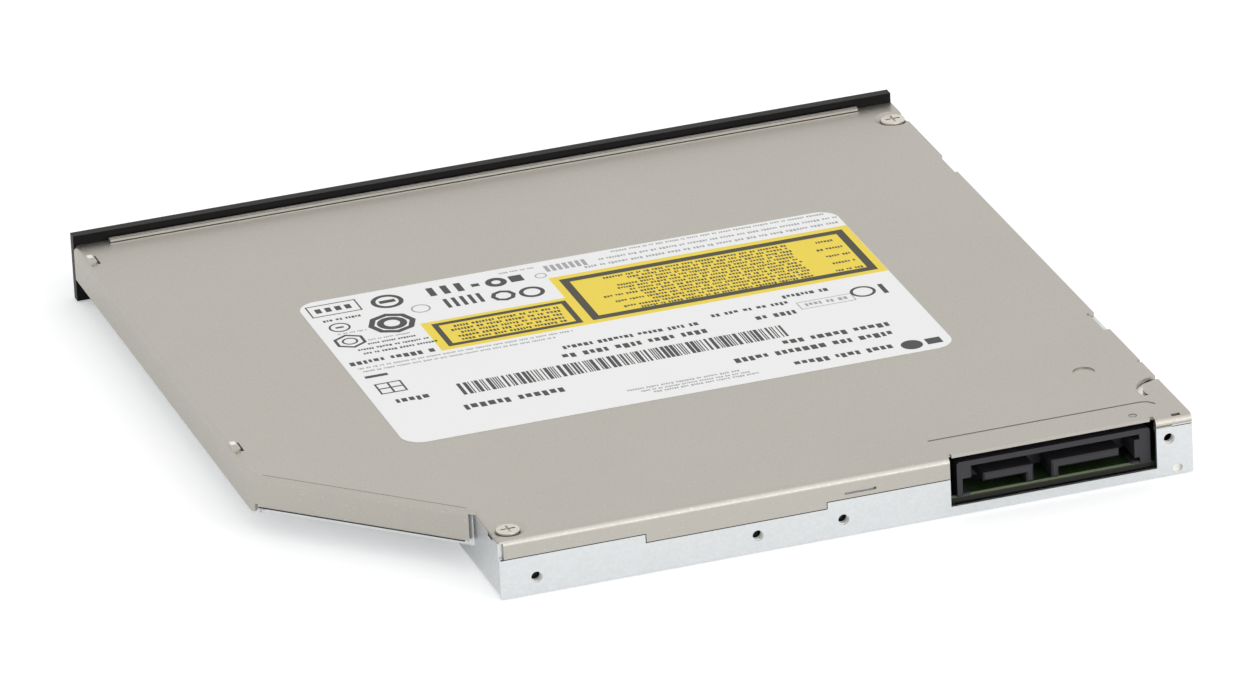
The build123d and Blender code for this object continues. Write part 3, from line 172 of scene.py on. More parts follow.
def bottom_sheet():
    """Bright zinc-plated steel: cool white metal with a faint fine spangle and cloudy patches."""
    material, tree, shader, place = blank("bright_zinc_steel")
    cells = add(tree, "ShaderNodeTexVoronoi", {"Vector": place, "Scale": per_mm(0.5)}, feature="F1")
    cloud = add(tree, "ShaderNodeTexNoise",
                {"Vector": place, "Scale": per_mm(5.0), "Detail": 6.0, "Roughness": 0.65})
    grain = add(tree, "ShaderNodeTexNoise", {"Vector": place, "Scale": per_mm(0.25), "Detail": 2.0})
    tone = add(tree, "ShaderNodeSeparateColor", {"Color": cells.outputs["Color"]})
    both = add(tree, "ShaderNodeMath", {0: tone.outputs["Red"], 1: cloud.outputs["Fac"]}, operation="MULTIPLY")
    patch = add(tree, "ShaderNodeMapRange", {"Value": both.outputs[0], "From Min": 0.05, "From Max": 0.45})
    shade = add(tree, "ShaderNodeMix",
                {"Factor": patch.outputs["Result"], MIX_A: linear("#DADDDE"), MIX_B: linear("#D5D8D9")},
                data_type="RGBA")
    tree.links.new(shade.outputs[MIX_OUT], shader.inputs["Base Color"])
    shader.inputs["Metallic"].default_value = 1.0
    rough = add(tree, "ShaderNodeMapRange", {"Value": both.outputs[0], "To Min": 0.38, "To Max": 0.48})
    tree.links.new(rough.outputs["Result"], shader.inputs["Roughness"])
    relief = add(tree, "ShaderNodeBump", {"Height": grain.outputs["Fac"], "Strength": 0.25, "Distance": 0.02 * MM})
    tree.links.new(relief.outputs["Normal"], shader.inputs["Normal"])
    return material


def highlight_paint():
    """Painted highlight: a near-white plating colour laid on the hem, lance tips, tabs and thread crests where light
    catches them.
    """
    return surface("painted_highlight_plating", "#F4F2EC", "#E9E7E1", metallic=1.0, roughness=0.45, cloud=3.0, grain=0.12,
                   bump=0.15, spread=0.05)


def fold_shade_paint():
    """Painted shade: a plating colour a shade darker than the sheet, laid along a tight fold where the bend reads
    darker.
    """
    return surface("painted_fold_shade", "#8F8B84", "#858179", metallic=1.0, roughness=0.5, cloud=3.0, grain=0.2, bump=0.2,
                   spread=0.05)


def shadow_paint():
    """Painted shadow: a dark colour laid in narrow seams, slots, round screw heads and on the board's front edge, where
    shade falls.
    """
    return surface("painted_seam_shadow", "#2A2825", "#201E1C", roughness=0.8, cloud=2.0, grain=0.2, bump=0.1, spread=0.05)


def label_paper():
    """Coated white label stock with a trace of fibre under the coating."""
    return surface("coated_label_stock", "#F6F6F4", "#F3F3F1", roughness=0.5, cloud=6.0, grain=0.12, bump=0.12,
                   spread=0.05)


def ink(name, base, second):
    """Flat printed ink, a little uneven where the film is thin."""
    return surface(name, base, second, roughness=0.5, cloud=3.0, grain=0.1, bump=0.08, spread=0.04)


def screw_steel():
    """Nickel-plated screw heads, a little warmer and brighter than the sheet."""
    return surface("nickel_plated_screw", "#DDD8CE", "#CDC8BE", metallic=1.0, roughness=0.26, cloud=2.0, grain=0.12,
                   bump=0.2)


def rail_steel():
    """Stainless strip of the slide rails, brushed along the slide."""
    return surface("stainless_strip", "#B9B9B6", "#A9A9A6", metallic=1.0, roughness=0.3, cloud=8.0, grain=0.2,
                   bump=0.3, stretch=(1, 0.05, 1))


def post_steel():
    """Turned steel of the catch post, plunger and magnets: darker and plainer than plated sheet."""
    return surface("turned_steel", "#9A9A98", "#868684", metallic=1.0, roughness=0.34, cloud=3.0, grain=0.15, bump=0.3)


def circuit_board():
    """Glass-fibre board: dark green solder mask, with copper tracks that show through as paler lines.

    The tracks are drawn about a quarter of a millimetre wide, coarser than real ones, so that they show.
    """
    material, tree, shader, place = blank("solder_masked_board")
    tracks = add(tree, "ShaderNodeTexBrick",
                 {"Vector": place, "Scale": per_mm(1.0), "Color1": linear("#1D3016"), "Color2": linear("#213519"),
                  "Mortar": linear("#2B4421"), "Mortar Size": 0.12, "Brick Width": 2.6, "Row Height": 0.7})
    cloud = add(tree, "ShaderNodeTexNoise", {"Vector": place, "Scale": per_mm(3.0), "Detail": 4.0})
    shade = add(tree, "ShaderNodeMix",
                {"Factor": cloud.outputs["Fac"], MIX_A: tracks.outputs["Color"], MIX_B: linear("#182812")},
                data_type="RGBA")
    tree.links.new(shade.outputs[MIX_OUT], shader.inputs["Base Color"])
    shader.inputs["Roughness"].default_value = 0.34
    relief = add(tree, "ShaderNodeBump", {"Height": tracks.outputs["Fac"], "Strength": 0.4, "Distance": 0.03 * MM})
    tree.links.new(relief.outputs["Normal"], shader.inputs["Normal"])
    return material


def board_edge():
    """Bare glass-fibre edge of a circuit board: pale and dull beside the mask."""
    return surface("bare_board_edge", "#9AA184", "#8B9276", roughness=0.55, cloud=1.0, grain=0.1, bump=0.2,
                   spread=0.05)


def chip_epoxy():
    """Black moulding compound of chips and small board parts."""
    return moulded("chip_epoxy", "#26262A", "#313136", 0.5)


def connector_plastic():
    """Glass-filled plastic of the host connector and the rod holders: dark grey, and lighter than the bezel."""
    return moulded("glass_filled_connector", "#2E2D32", "#252429", 0.5)


def contact_gold():
    """Gilt contact blades."""
    return surface("gilt_contact", "#D9B45C", "#C79F48", metallic=1.0, roughness=0.24, cloud=1.5, grain=0.1, bump=0.1,
                   spread=0.05)


def ribbon_film():
    """Amber polyimide ribbon with its conductors showing as fine lines."""
    return surface("polyimide_ribbon", "#B98A3E", "#A87B34", roughness=0.32, cloud=10.0, grain=0.5, bump=0.1,
                   spread=0.05, stretch=(4, 0.05, 1))


def tray_plastic():
    """Dark grey plastic of the tray, with a coarse moulded texture that keeps it matt."""
    return moulded("textured_tray_plastic", "#2B2B2D", "#232325", 0.52, 0.22, 0.7)


def bezel_plastic():
    """Satin black bezel: nearly black, with a weak sheen."""
    material = moulded("satin_black_bezel", "#110F0F", "#0E0C0C", 0.42, 0.2, 0.5)
    shader = next(node for node in material.node_tree.nodes if node.type == "BSDF_PRINCIPLED")
    shader.inputs["Specular IOR Level"].default_value = 0.14
    return material


def button_plastic():
    """Smoother black plastic of the eject button, which shines a little against the bezel."""
    return moulded("polished_black_button", "#1E1C1C", "#181616", 0.28, 0.3, 0.2)


def led_clear():
    """Clear light guide, faintly green."""
    return clear_part("clear_light_guide", "#DDEFD8", 0.12)


def tray_plate():
    """Rolled steel plate under the tray, with the streaks of the rolling."""
    return surface("rolled_plate", "#C4C6C8", "#B4B6B8", metallic=1.0, roughness=0.4, cloud=20.0, grain=0.25, bump=0.3,
                   stretch=(1, 0.05, 1))


def chassis_steel():
    """Zinc-plated traverse chassis: satin, in small clouds."""
    return surface("zinc_plated_chassis", "#BFC0BD", "#ABACA9", metallic=1.0, roughness=0.38, cloud=6.0, grain=0.3,
                   bump=0.3)


def rod_steel():
    """Ground steel of guide rods and lead screw, the brightest metal in the tray."""
    return surface("ground_rod", "#D6D7D8", "#C9CACB", metallic=1.0, roughness=0.16, cloud=4.0, grain=0.1, bump=0.1,
                   spread=0.04)


def motor_steel():
    """Plated steel of the motor base and the stepper, a little duller than the rods."""
    return surface("plated_motor_steel", "#B5B4B0", "#A3A29E", metallic=1.0, roughness=0.32, cloud=4.0, grain=0.2,
                   bump=0.25)


def winding():
    """Enamelled copper wire, wound close: fine ridges of dark copper."""
    return surface("enamelled_copper_wire", "#B5622E", "#96491D", metallic=0.9, roughness=0.35, cloud=1.0, grain=0.14,
                   bump=0.9, stretch=(1, 1, 3))


def rubber_black():
    """Soft black rubber of the dampers, without shine."""
    return moulded("soft_black_rubber", "#1C1C1C", "#262626", 0.72, 0.3, 0.6)


def coil_box():
    """Dark enamelled box of the solenoid coil."""
    return surface("coil_box_enamel", "#3A3A3E", "#2E2E32", metallic=0.3, roughness=0.4, cloud=3.0, grain=0.3, bump=0.3,
                   spread=0.05)


def turntable():
    """Plastic of the turntable, a lighter grey than the tray round it."""
    return moulded("turntable_plastic", "#3A3A3C", "#2E2E30", 0.4, 0.25, 0.35)


def claw_plastic():
    """Natural white acetal of the disc claws, smooth and slightly waxy."""
    return moulded("natural_acetal_claw", "#E4E2DA", "#D8D6CE", 0.34, 0.3, 0.2)


def sled_metal():
    """Die-cast zinc of the pickup sled, grainy from the die."""
    return surface("die_cast_zinc", "#A8A9AB", "#8F9092", metallic=1.0, roughness=0.48, cloud=3.0, grain=0.22, bump=0.8,
                   spread=0.08)


def lens_frame():
    """Dark polymer of the moving lens frame."""
    return moulded("lens_frame_polymer", "#2A2A30", "#222228", 0.42)


def lens_clear():
    """Coated lens with a blue cast."""
    return clear_part("coated_lens", "#C9D8F2", 0.03)


def lever_plastic():
    """Natural white acetal of the latch lever, smooth and slightly waxy."""
    return moulded("natural_acetal_lever", "#E6E3DA", "#D9D6CC", 0.36, 0.3, 0.2)


MATERIALS = {
    "sheet_top": top_sheet, "sheet_bottom": bottom_sheet, "label_stock": label_paper, "screw_steel": screw_steel,
    "rail_steel": rail_steel, "post_steel": post_steel, "board_green": circuit_board, "small_parts": chip_epoxy,
    "connector_plastic": connector_plastic, "contact_gold": contact_gold, "ribbon_film": ribbon_film,
    "tray_plastic": tray_plastic, "bezel_plastic": bezel_plastic, "button_plastic": button_plastic,
    "led_clear": led_clear, "tray_plate": tray_plate, "chassis_steel": chassis_steel, "rod_steel": rod_steel,
    "motor_steel": motor_steel, "winding": winding, "rubber_black": rubber_black, "coil_box": coil_box,
    "turntable": turntable, "claw_plastic": claw_plastic, "sled_metal": sled_metal, "lens_frame": lens_frame,
    "lens_clear": lens_clear, "lever_plastic": lever_plastic,
}


def dress_nodes():
    """Gives every node the material of its slot."""
    made = {}
    for entry in frame["record"]["subparts"]:
        slot = entry["material_slot"]
        if slot not in made:
            made[slot] = MATERIALS[slot]()
        obj = frame["nodes"][entry["node"]]
        obj.data.materials.clear()
        obj.data.materials.append(made[slot])


# Modelling: places and sizes are in millimetres

def nothing_selected():
    """Leaves edit mode and deselects everything."""
    if bpy.context.mode != "OBJECT":
        bpy.ops.object.mode_set(mode="OBJECT")
    bpy.ops.object.select_all(action="DESELECT")


def begin(name):
    """A new empty piece in edit mode: the cube that starts it is cleared away."""
    nothing_selected()
    bpy.ops.mesh.primitive_cube_add(size=MM, location=(0, 0, 0))
    piece = bpy.context.object
    piece.name = name
    piece.data.name = name
    bpy.ops.object.mode_set(mode="EDIT")
    bpy.ops.mesh.select_all(action="SELECT")
    bpy.ops.mesh.delete(type="VERT")
    return piece


def end(piece, body, material):
    """Closes a piece: back to object mode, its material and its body."""
    bpy.ops.object.mode_set(mode="OBJECT")
    piece.data.materials.clear()
    piece.data.materials.append(material)
    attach(piece, body)
    return piece


def bar(x0, x1, y0, y1, z0, z1, turn=0.0):
    """A block in the piece being edited: a small sheet sized to its place, turned if need be, and extruded up."""
    middle = ((x0 + x1) / 2 * MM, (y0 + y1) / 2 * MM, z0 * MM)
    bpy.ops.mesh.select_all(action="DESELECT")
    bpy.ops.mesh.primitive_plane_add(size=MM, location=middle)
    bpy.ops.transform.resize(value=(x1 - x0, y1 - y0, 1), center_override=middle)
    if turn:
        # Without a window the operator turns the other way
        bpy.ops.transform.rotate(value=-turn, orient_axis="Z", center_override=middle)
    bpy.ops.mesh.extrude_region_move(TRANSFORM_OT_translate={"value": (0, 0, (z1 - z0) * MM)})


def blocks(name, material, boxes):
    """One piece of the housing made of plain blocks."""
    piece = begin(name)
    for box in boxes:
        bar(*box)
    return end(piece, "housing", material)


def rings(name, material, rows):
    """One piece of the housing made of thin round wires: (place, radius, half thickness, turn about X)."""
    piece = begin(name)
    for (x, y, z), radius, wire, turn in rows:
        bpy.ops.mesh.primitive_torus_add(major_segments=32, minor_segments=8, major_radius=radius * MM,
                                         minor_radius=wire * MM, location=(x * MM, y * MM, z * MM),
                                         rotation=(turn, 0, 0))
    end(piece, "housing", material)
    for polygon in piece.data.polygons:
        polygon.use_smooth = True
    return piece


# The label: its top and left edge, how thick a layer of print is, how deep a ring starts in the paper, and the
# layer of print that lies on another
LABEL_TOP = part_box("label")[1][2] / MM
LABEL_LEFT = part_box("label")[0][0] / MM
INK = 0.012
UNDER = 0.02
OVER = 2

# Fields and the frames in them: x from and to, y from and to
BIG_FIELD = (LABEL_LEFT + 0.05, 3.9, -20.0, -1.9)
SMALL_FIELD = (3.9, 26.0, -12.3, -1.9)
BIG_FRAME = (-41.0, 2.7, -18.8, -3.0)
SMALL_FRAME = (4.2, 24.6, -11.4, -2.9)
BIG_FRAME_LINE = 1.25
SMALL_FRAME_LINE = 0.85
# Small print in the frames: x from, the spread of x to, first y, pitch, height, rows
FRAME_ROWS = [
    (-31.8, (-8.0, -0.6), -16.6, 1.09, 0.72, 12), (-39.3, (-36.0, -34.6), -15.6, 2.7, 0.75, 5),
    (5.9, (21.0, 23.0), -9.4, 1.24, 0.8, 5),
]

# A greeked line: blocks in a group, and their width, height and gaps as shares of the line's height
BLOCKS_IN_GROUP = (2, 7)
BLOCK_WIDE = (0.3, 0.55)
BLOCK_TALL = (0.62, 0.95)
BLOCK_GAP = 0.2
GROUP_GAP = 0.5
# Greeked lines in dark ink: x from, x to, middle in y, height
DARK_LINES = [
    (-35.7, -19.6, 16.2, 1.7), (-35.8, -11.2, 19.3, 1.7), (-34.2, -18.7, 23.8, 1.6), (14.2, 29.1, 18.4, 1.9),
    (32.0, 37.4, 12.4, 1.7), (-11.7, 10.8, 7.5, 1.7), (-11.6, 9.8, 4.5, 1.2), (-25.3, -13.3, 2.9, 1.2),
    (-25.2, -18.9, 6.5, 1.6), (-32.5, -24.9, 0.85, 1.2), (26.2, 39.6, -2.6, 1.5), (25.1, 36.6, -5.5, 0.7),
    (26.3, 37.0, -7.0, 0.7), (27.2, 35.0, -8.6, 0.6), (32.6, 38.6, -18.8, 0.8),
]
# Greeked lines in pale ink
PALE_LINES = [
    (-41.6, -2.2, -21.5, 0.8), (-41.9, -5.0, -23.4, 0.7), (-41.0, -7.5, -25.3, 0.6), (6.5, 39.0, -0.7, 0.55),
    (9.5, 38.6, 0.5, 0.55), (-13.1, 2.8, 24.5, 0.6), (-12.0, 4.4, 23.6, 0.55), (-10.8, 6.2, 22.6, 0.6),
    (-33.4, -27.0, 4.8, 1.1), (28.0, 34.6, -9.9, 0.5), (33.4, 38.0, -13.6, 0.5), (4.6, 10.0, -24.6, 0.5),
]

# Upright stripes: x from and to, y from and to, and the widths and gaps that they draw from
STRIPES = (27.8, -21.0, 10.0, 14.1)
STRIPE_WIDTHS = (0.18, 0.18, 0.36, 0.54)
STRIPE_GAPS = (0.16, 0.16, 0.3, 0.42)

# Plain marks. A row: x of its first bar, bar width, pitch, bars, y from and to
PALE_ROWS = [(-3.0, 0.6, 0.95, 7, -24.5, -22.3)]
DARK_ROWS = [(33.2, 0.9, 1.5, 4, -23.5, -22.0), (16.3, 1.0, 2.1, 3, -24.0, -21.0), (14.8, 0.6, 1.25, 5, -19.3, -16.0)]
# A box: x from and to, y from and to, line
PALE_BOXES = [(-34.4, -26.0, 3.5, 6.1, 0.15)]
DARK_BOXES = [(32.0, 39.6, -24.8, -20.7, 0.22), (34.6, 38.6, 5.3, 9.1, 0.28)]
# A ring: x, y, outer and inner radius, sides
PALE_RINGS = [(24.2, -17.5, 1.45, 1.2, 40), (4.6, -21.4, 0.9, 0.7, 40)]
DARK_RINGS = [
    (27.9, -22.0, 2.4, 1.7, 40), (29.6, -14.3, 3.6, 2.75, 8), (29.6, -14.3, 2.2, 1.2, 24), (37.0, -16.0, 1.6, 1.3, 40),
    (37.1, -10.7, 2.5, 2.05, 6), (37.1, -10.7, 1.2, 0.9, 24), (11.8, -16.9, 1.9, 1.25, 8), (7.6, -16.4, 1.9, 1.25, 40),
    (11.3, -21.9, 1.6, 0.7, 24), (-36.2, 24.4, 1.6, 0.0, 28), (-36.2, 3.7, 1.9, 1.45, 28),
]
# A bar: x from and to, y from and to
DARK_BARS = [
    (26.7, 29.1, -22.5, -21.5), (36.4, 37.6, -16.25, -15.75), (7.2, 9.2, -23.1, -20.9), (13.8, 15.0, -22.7, -21.7),
    (35.6, 39.0, 2.1, 2.9), (36.45, 36.75, 5.6, 8.8), (34.9, 36.45, 7.05, 7.35), (36.75, 38.3, 7.05, 7.35),
    (-40.7, -38.4, 23.3, 25.3), (-39.6, -38.9, 2.2, 5.6),
]


def printed(x0, x1, y0, y1, level=1):
    """A printed rectangle on the label; a higher level lies over a lower one."""
    bar(x0, x1, y0, y1, LABEL_TOP, LABEL_TOP + INK * level)


def ring(x, y, outer, inner, sides):
    """A printed ring or disc: a face inset and raised, while its middle stays out of sight in the paper."""
    bpy.ops.mesh.select_all(action="DESELECT")
    bpy.ops.mesh.primitive_circle_add(vertices=sides, radius=outer * MM, fill_type="NGON",
                                      location=(x * MM, y * MM, (LABEL_TOP - UNDER) * MM))
    if inner > 0:
        bpy.ops.mesh.inset(thickness=(outer - inner) * MM, use_select_inset=True)
    bpy.ops.mesh.extrude_region_move(TRANSFORM_OT_translate={"value": (0, 0, (UNDER + INK) * MM)})


def words(x0, x1, y, tall, rng, level=1):
    """A greeked line: plain blocks in groups of uneven length, from x1 down to x0."""
    x = x1
    while x > x0 + tall * GROUP_GAP:
        for _ in range(rng.randint(*BLOCKS_IN_GROUP)):
            wide = rng.uniform(*BLOCK_WIDE) * tall
            if x - wide < x0:
                break
            high = rng.uniform(*BLOCK_TALL) * tall
            printed(x - wide, x, y - tall / 2, y - tall / 2 + high, level)
            x -= wide + tall * BLOCK_GAP
        x -= tall * GROUP_GAP


def box_line(x0, x1, y0, y1, line, level=1):
    """A printed rectangle that is only a line round its edge."""
    printed(x0, x1, y0, y0 + line, level)
    printed(x0, x1, y1 - line, y1, level)
    printed(x0, x0 + line, y0 + line, y1 - line, level)
    printed(x1 - line, x1, y0 + line, y1 - line, level)


def bar_row(x, wide, pitch, count, y0, y1):
    """A printed row of equal upright bars."""
    for i in range(count):
        printed(x + i * pitch, x + i * pitch + wide, y0, y1)


def print_fields(material):
    """The two yellow fields."""
    piece = begin("print_fields")
    printed(*BIG_FIELD)
    printed(*SMALL_FIELD)
    return end(piece, "housing", material)


def print_frames(material):
    """The dark frames inside the yellow fields and the fine lines of small print in them."""
    rng = random.Random(5)
    piece = begin("print_frames")
    box_line(*BIG_FRAME, BIG_FRAME_LINE, OVER)
    box_line(*SMALL_FRAME, SMALL_FRAME_LINE, OVER)
    for x0, spread, y, pitch, tall, rows in FRAME_ROWS:
        for row in range(rows):
            words(x0, rng.uniform(*spread), y + row * pitch, tall, rng, OVER)
    return end(piece, "housing", material)


def print_stripes(material):
    """A row of plain upright stripes of uneven width."""
    rng = random.Random(11)
    piece = begin("print_stripes")
    x, last, y0, y1 = STRIPES
    while x > last:
        wide = rng.choice(STRIPE_WIDTHS)
        printed(x - wide, x, y0, y1)
        x -= wide + rng.choice(STRIPE_GAPS)
    return end(piece, "housing", material)


def print_lines(material, name, lines, seed):
    """Greeked lines on the white of the label."""
    rng = random.Random(seed)
    piece = begin(name)
    for x0, x1, y, tall in lines:
        words(x0, x1, y, tall, rng)
    return end(piece, "housing", material)


def print_marks(material, name, rows, boxes, circles, bars):
    """Plain shapes where a real label carries marks: rows of bars, boxes, rings and single bars."""
    piece = begin(name)
    for row in rows:
        bar_row(*row)
    for box in boxes:
        box_line(*box)
    for circle in circles:
        ring(*circle)
    for mark in bars:
        printed(*mark)
    return end(piece, "housing", material)


def dress_label():
    """All the print on the label."""
    yellow = ink("yellow_ink", "#F6DB3E", "#F2D636")
    olive = ink("dark_olive_ink", "#2F2A10", "#363016")
    black = ink("dark_grey_ink", "#2E2D2E", "#373637")
    grey = ink("pale_grey_ink", "#A0A0A2", "#AAAAAC")
    print_fields(yellow)
    print_frames(olive)
    print_stripes(black)
    print_lines(black, "print_lines", DARK_LINES, 3)
    print_lines(grey, "print_fine", PALE_LINES, 7)
    print_marks(grey, "print_pale_marks", PALE_ROWS, PALE_BOXES, PALE_RINGS, [])
    print_marks(black, "print_marks", DARK_ROWS, DARK_BOXES, DARK_RINGS, DARK_BARS)


# Painted highlights and painted shadows laid on the housing as thin blocks: x from and to, y from and to, z from and to
SHEET_TOP = 9.0
HEM_X = (-58.3, 58.7)
# Painted highlights on the hem's top and on the sheet behind it, with a painted shadow line in the gap between them
HEM_HIGHLIGHT = [(*HEM_X, -60.6, -60.05, 9.49, 9.512), (*HEM_X, -59.68, -59.3, 8.99, 9.008)]
HEM_SEAM_SHADOW = [(*HEM_X, -59.76, -59.7, 8.99, 9.12)]
LANCE_MIDDLES_Y = (-54.6, 17.6)
# Painted highlight on each lance's raised tip, and painted shadow in its slot
LANCE_HIGHLIGHT = [(62.7, 63.5, y - 1.4, y - 0.3, 9.34, 9.362) for y in LANCE_MIDDLES_Y]
LANCE_SLOT_SHADOW = [(62.1, 62.5, y - 1.5, y + 1.5, 8.99, 9.006) for y in LANCE_MIDDLES_Y]
# Painted highlights on two small tabs near the -X rear corner
INNER_TAB_HIGHLIGHTS = [(-63.4, -60.2, 49.2, 54.4, 8.15, 8.4), (-62.6, -60.7, 62.2, 62.5, 0.35, 1.9)]
REAR_SEAM_Y = (62.9, 63.065)
# Painted shadow in the gap under the top cover's rear flange
FLANGE_SEAM_SHADOWS = [
    (17.4, 38.6, *REAR_SEAM_Y, 5.97, 6.09), (-9.3, 17.4, *REAR_SEAM_Y, 4.67, 4.79),
    (-27.6, -9.3, *REAR_SEAM_Y, 5.67, 5.79), (17.3, 17.42, *REAR_SEAM_Y, 4.7, 6.09),
    (-9.42, -9.3, *REAR_SEAM_Y, 4.7, 5.79), (-61.0, -58.7, *REAR_SEAM_Y, 7.78, 7.89),
    (-63.9, -61.0, *REAR_SEAM_Y, 7.53, 7.64),
]

# The chamfer: its turn, then the middle, half length and half width of the painted shade line on its fold and of the
# painted shadow in the seam under its flange
CHAMFER_TURN = math.atan2(24.8, -25.2)
FOLD_X, FOLD_Y, FOLD_LONG, FOLD_WIDE = 50.74, 39.33, 16.0, 0.08
SEAM_X, SEAM_Y, SEAM_LONG, SEAM_WIDE = 51.6, 39.8, 16.2, 0.1
CHAMFER_FOLD_SHADE = (FOLD_X - FOLD_LONG, FOLD_X + FOLD_LONG, FOLD_Y - FOLD_WIDE, FOLD_Y + FOLD_WIDE, 8.99, 9.005,
                CHAMFER_TURN)
CHAMFER_SEAM_SHADOW = (SEAM_X - SEAM_LONG, SEAM_X + SEAM_LONG, SEAM_Y - SEAM_WIDE, SEAM_Y + SEAM_WIDE, 4.27, 4.38,
                CHAMFER_TURN)

# Round things: painted highlights on the rear thread crests, and painted shadow round the cover screws and in the
# dimple
REAR_THREADS = ((33.5, 2.65), (1.0, 2.65), (-11.7, 2.65), (-60.5, 5.8))
CREST_Y = (62.75, 62.4, 62.05)
CREST_R, CREST_HALF = 0.76, 0.07
COVER_SCREWS = ((-62.1, -55.0, 1.85), (36.2, 59.4, 1.7))
SCREW_SHADOW_Z, SCREW_SHADOW_HALF = 8.62, 0.05
DIMPLE = (-56.2, 60.2, SHEET_TOP - 0.025)
DIMPLE_R, DIMPLE_HALF = 0.55, 0.045

# The connector's board: its outer edge, between the walls of the connector
BOARD_X = (-58.4, -27.9)
BOARD_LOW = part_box("host_board")[0][2] / MM
BOARD_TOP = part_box("host_board")[1][2] / MM
BOARD_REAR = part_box("host_board")[1][1] / MM
BOARD_LINE = [(*BOARD_X, BOARD_REAR - 0.8, BOARD_REAR - 0.1, BOARD_TOP - 0.02, BOARD_TOP + 0.015)]
# Painted shadow on the board's front edge face
BOARD_FRONT_SHADOW = [(*BOARD_X, BOARD_REAR - 0.1, BOARD_REAR + 0.015, BOARD_LOW + 0.05, BOARD_TOP - 0.1)]


def fit_small_things():
    """Painted highlights on edges, tabs and thread crests, painted shadow in seams, slots and round the screws, a
    painted shade line on the chamfer's fold, and the board's bare edge.
    """
    bright = highlight_paint()
    dark = shadow_paint()
    blocks("hem_highlight", bright, HEM_HIGHLIGHT)
    blocks("hem_seam_shadow", dark, HEM_SEAM_SHADOW)
    blocks("flange_seam_shadows", dark, FLANGE_SEAM_SHADOWS + [CHAMFER_SEAM_SHADOW])
    blocks("lance_highlight", bright, LANCE_HIGHLIGHT)
    blocks("lance_slot_shadow", dark, LANCE_SLOT_SHADOW)
    blocks("inner_tab_highlights", bright, INNER_TAB_HIGHLIGHTS)
    # Painted highlights: bright rings on the thread crests in the rear tapped holes
    rings("tap_thread_highlights", bright,
          [((x, y, z), CREST_R, CREST_HALF, math.pi / 2) for x, z in REAR_THREADS for y in CREST_Y])
    blocks("chamfer_fold_shade", fold_shade_paint(), [CHAMFER_FOLD_SHADE])
    rings("dimple_shade", dark, [(DIMPLE, DIMPLE_R, DIMPLE_HALF, 0)])
    rings("screw_rim_shadows", dark, [((x, y, SCREW_SHADOW_Z), r, SCREW_SHADOW_HALF, 0) for x, y, r in COVER_SCREWS])
    blocks("board_edge", board_edge(), BOARD_LINE)
    blocks("board_front_shadow", dark, BOARD_FRONT_SHADOW)


# The room: strength of the world's light, how far the floor is lifted where it is seen and where it is mirrored,
# and how far it lies under the drive
WORLD_LIGHT = 0.88
FLOOR_LIFT = 0.3
MIRRORED_LIFT = 0.2
FLOOR_BELOW = 0.02 * MM
FLOOR_SIZE = 6.0
# Lamps: place, width and height in metres, and power; the strip lights the rear wall, the key is above it
LAMPS = {
    "key": ((-0.5, 1.25, 0.85), 1.4, 1.4, 4.6),
    "strip": ((-0.45, 1.6, 0.13), 1.0, 0.22, 3.2),
}


def seen_rays(tree, camera=1.0, mirrored=1.0):
    """One value for rays from the camera, one for what metal and glass show, and 0 for light."""
    path = add(tree, "ShaderNodeLightPath")
    shown = add(tree, "ShaderNodeMath", {0: path.outputs["Is Glossy Ray"], 1: path.outputs["Is Transmission Ray"]},
                operation="MAXIMUM")
    scaled = add(tree, "ShaderNodeMath", {0: shown.outputs[0], 1: mirrored}, operation="MULTIPLY")
    direct = add(tree, "ShaderNodeMath", {0: path.outputs["Is Camera Ray"], 1: camera}, operation="MULTIPLY")
    return add(tree, "ShaderNodeMath", {0: direct.outputs[0], 1: scaled.outputs[0]}, operation="MAXIMUM").outputs[0]


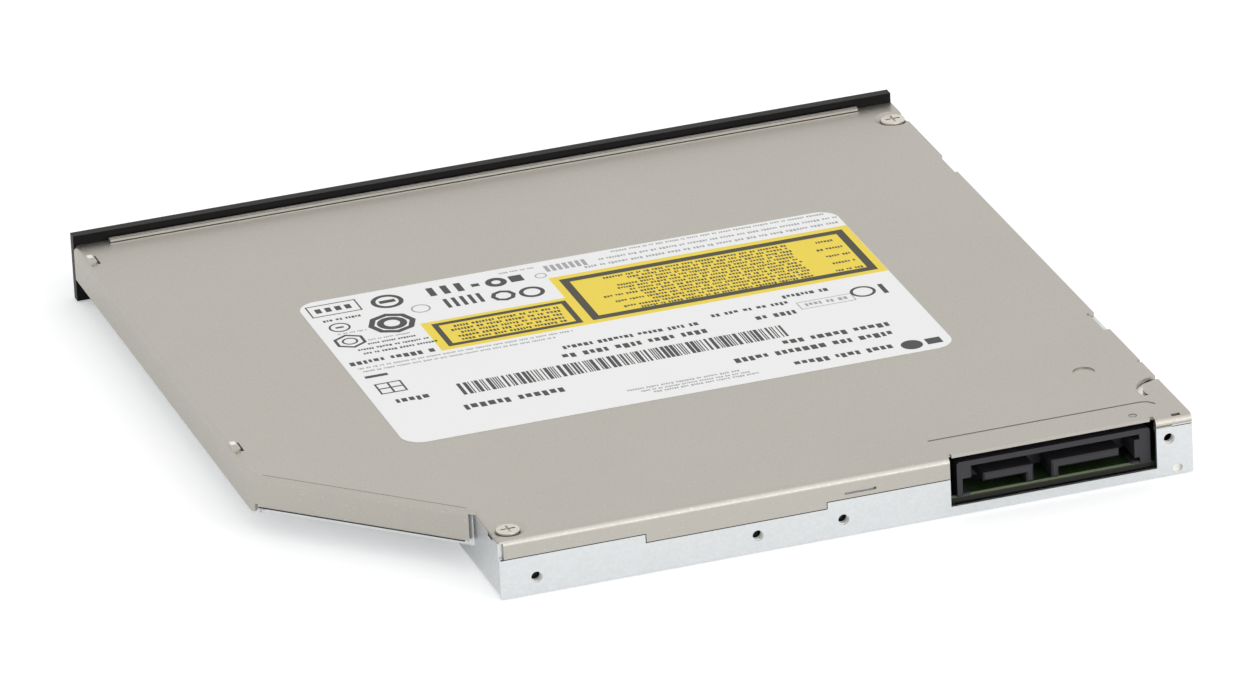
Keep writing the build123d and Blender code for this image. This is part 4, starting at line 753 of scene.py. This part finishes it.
def stage_floor():
    """Pale floor that keeps the drive's soft shadow and is lifted to white where it is seen."""
    nothing_selected()
    bpy.ops.mesh.primitive_plane_add(size=FLOOR_SIZE, location=(0, 0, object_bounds()[0][2] - FLOOR_BELOW))
    floor = bpy.context.object
    floor.name = "floor"
    material, tree, shader, place = blank("white_paper_floor")
    shade = add(tree, "ShaderNodeTexNoise", {"Vector": place, "Scale": per_mm(60.0)})
    colour = add(tree, "ShaderNodeMix",
                 {"Factor": shade.outputs["Fac"], MIX_A: linear("#F4F4F4"), MIX_B: linear("#F1F1F1")},
                 data_type="RGBA")
    tree.links.new(colour.outputs[MIX_OUT], shader.inputs["Base Color"])
    shader.inputs["Roughness"].default_value = 0.9
    shader.inputs["Specular IOR Level"].default_value = 0.1
    shader.inputs["Emission Color"].default_value = linear("#FFFFFF")
    tree.links.new(seen_rays(tree, FLOOR_LIFT, MIRRORED_LIFT), shader.inputs["Emission Strength"])
    floor.data.materials.append(material)


def room():
    """World: even soft white light, and pure white where it is seen."""
    world = bpy.data.worlds.new("soft_room")
    bpy.context.scene.world = world
    world.use_nodes = True
    tree = world.node_tree
    tree.nodes.clear()
    light = add(tree, "ShaderNodeBackground", {"Color": linear("#F8F9FA"), "Strength": WORLD_LIGHT})
    seen = add(tree, "ShaderNodeBackground", {"Color": linear("#FFFFFF"), "Strength": 1.0})
    mix = add(tree, "ShaderNodeMixShader", {0: seen_rays(tree), 1: light.outputs[0], 2: seen.outputs[0]})
    add(tree, "ShaderNodeOutputWorld", {"Surface": mix.outputs[0]})


def lamps():
    """Two soft lamps on the connector's side, which leave the shadow by the wing."""
    for name, (place, wide, tall, power) in LAMPS.items():
        data = bpy.data.lights.new(name, "AREA")
        data.shape = "RECTANGLE"
        data.size = wide
        data.size_y = tall
        data.energy = power
        obj = bpy.data.objects.new(name, data)
        bpy.context.scene.collection.objects.link(obj)
        place = Vector(place)
        obj.matrix_world = Matrix.Translation(place) @ (-place).to_track_quat("-Z", "Y").to_matrix().to_4x4()


def camera():
    """Camera at the photograph's place, lens and roll."""
    data = bpy.data.cameras.new("camera")
    data.sensor_width = SENSOR
    data.lens = FOCAL_PIXELS / PHOTO_WIDTH * SENSOR
    data.clip_end = CAMERA_REACH
    obj = bpy.data.objects.new("camera", data)
    bpy.context.scene.collection.objects.link(obj)
    ahead = (CAMERA_TARGET - CAMERA_PLACE).normalized()
    side = ahead.cross(Vector((0, 0, 1))).normalized()
    up = side.cross(ahead)
    side, up = (side * math.cos(CAMERA_ROLL) + up * math.sin(CAMERA_ROLL),
                up * math.cos(CAMERA_ROLL) - side * math.sin(CAMERA_ROLL))
    turn = Matrix((side, up, -ahead)).transposed().to_4x4()
    obj.matrix_world = Matrix.Translation(CAMERA_PLACE) @ turn
    bpy.context.scene.camera = obj


dress_nodes()
dress_label()
fit_small_things()
stage_floor()
room()
lamps()
camera()
nothing_selected()
bpy.context.scene.view_settings.view_transform = "Standard"
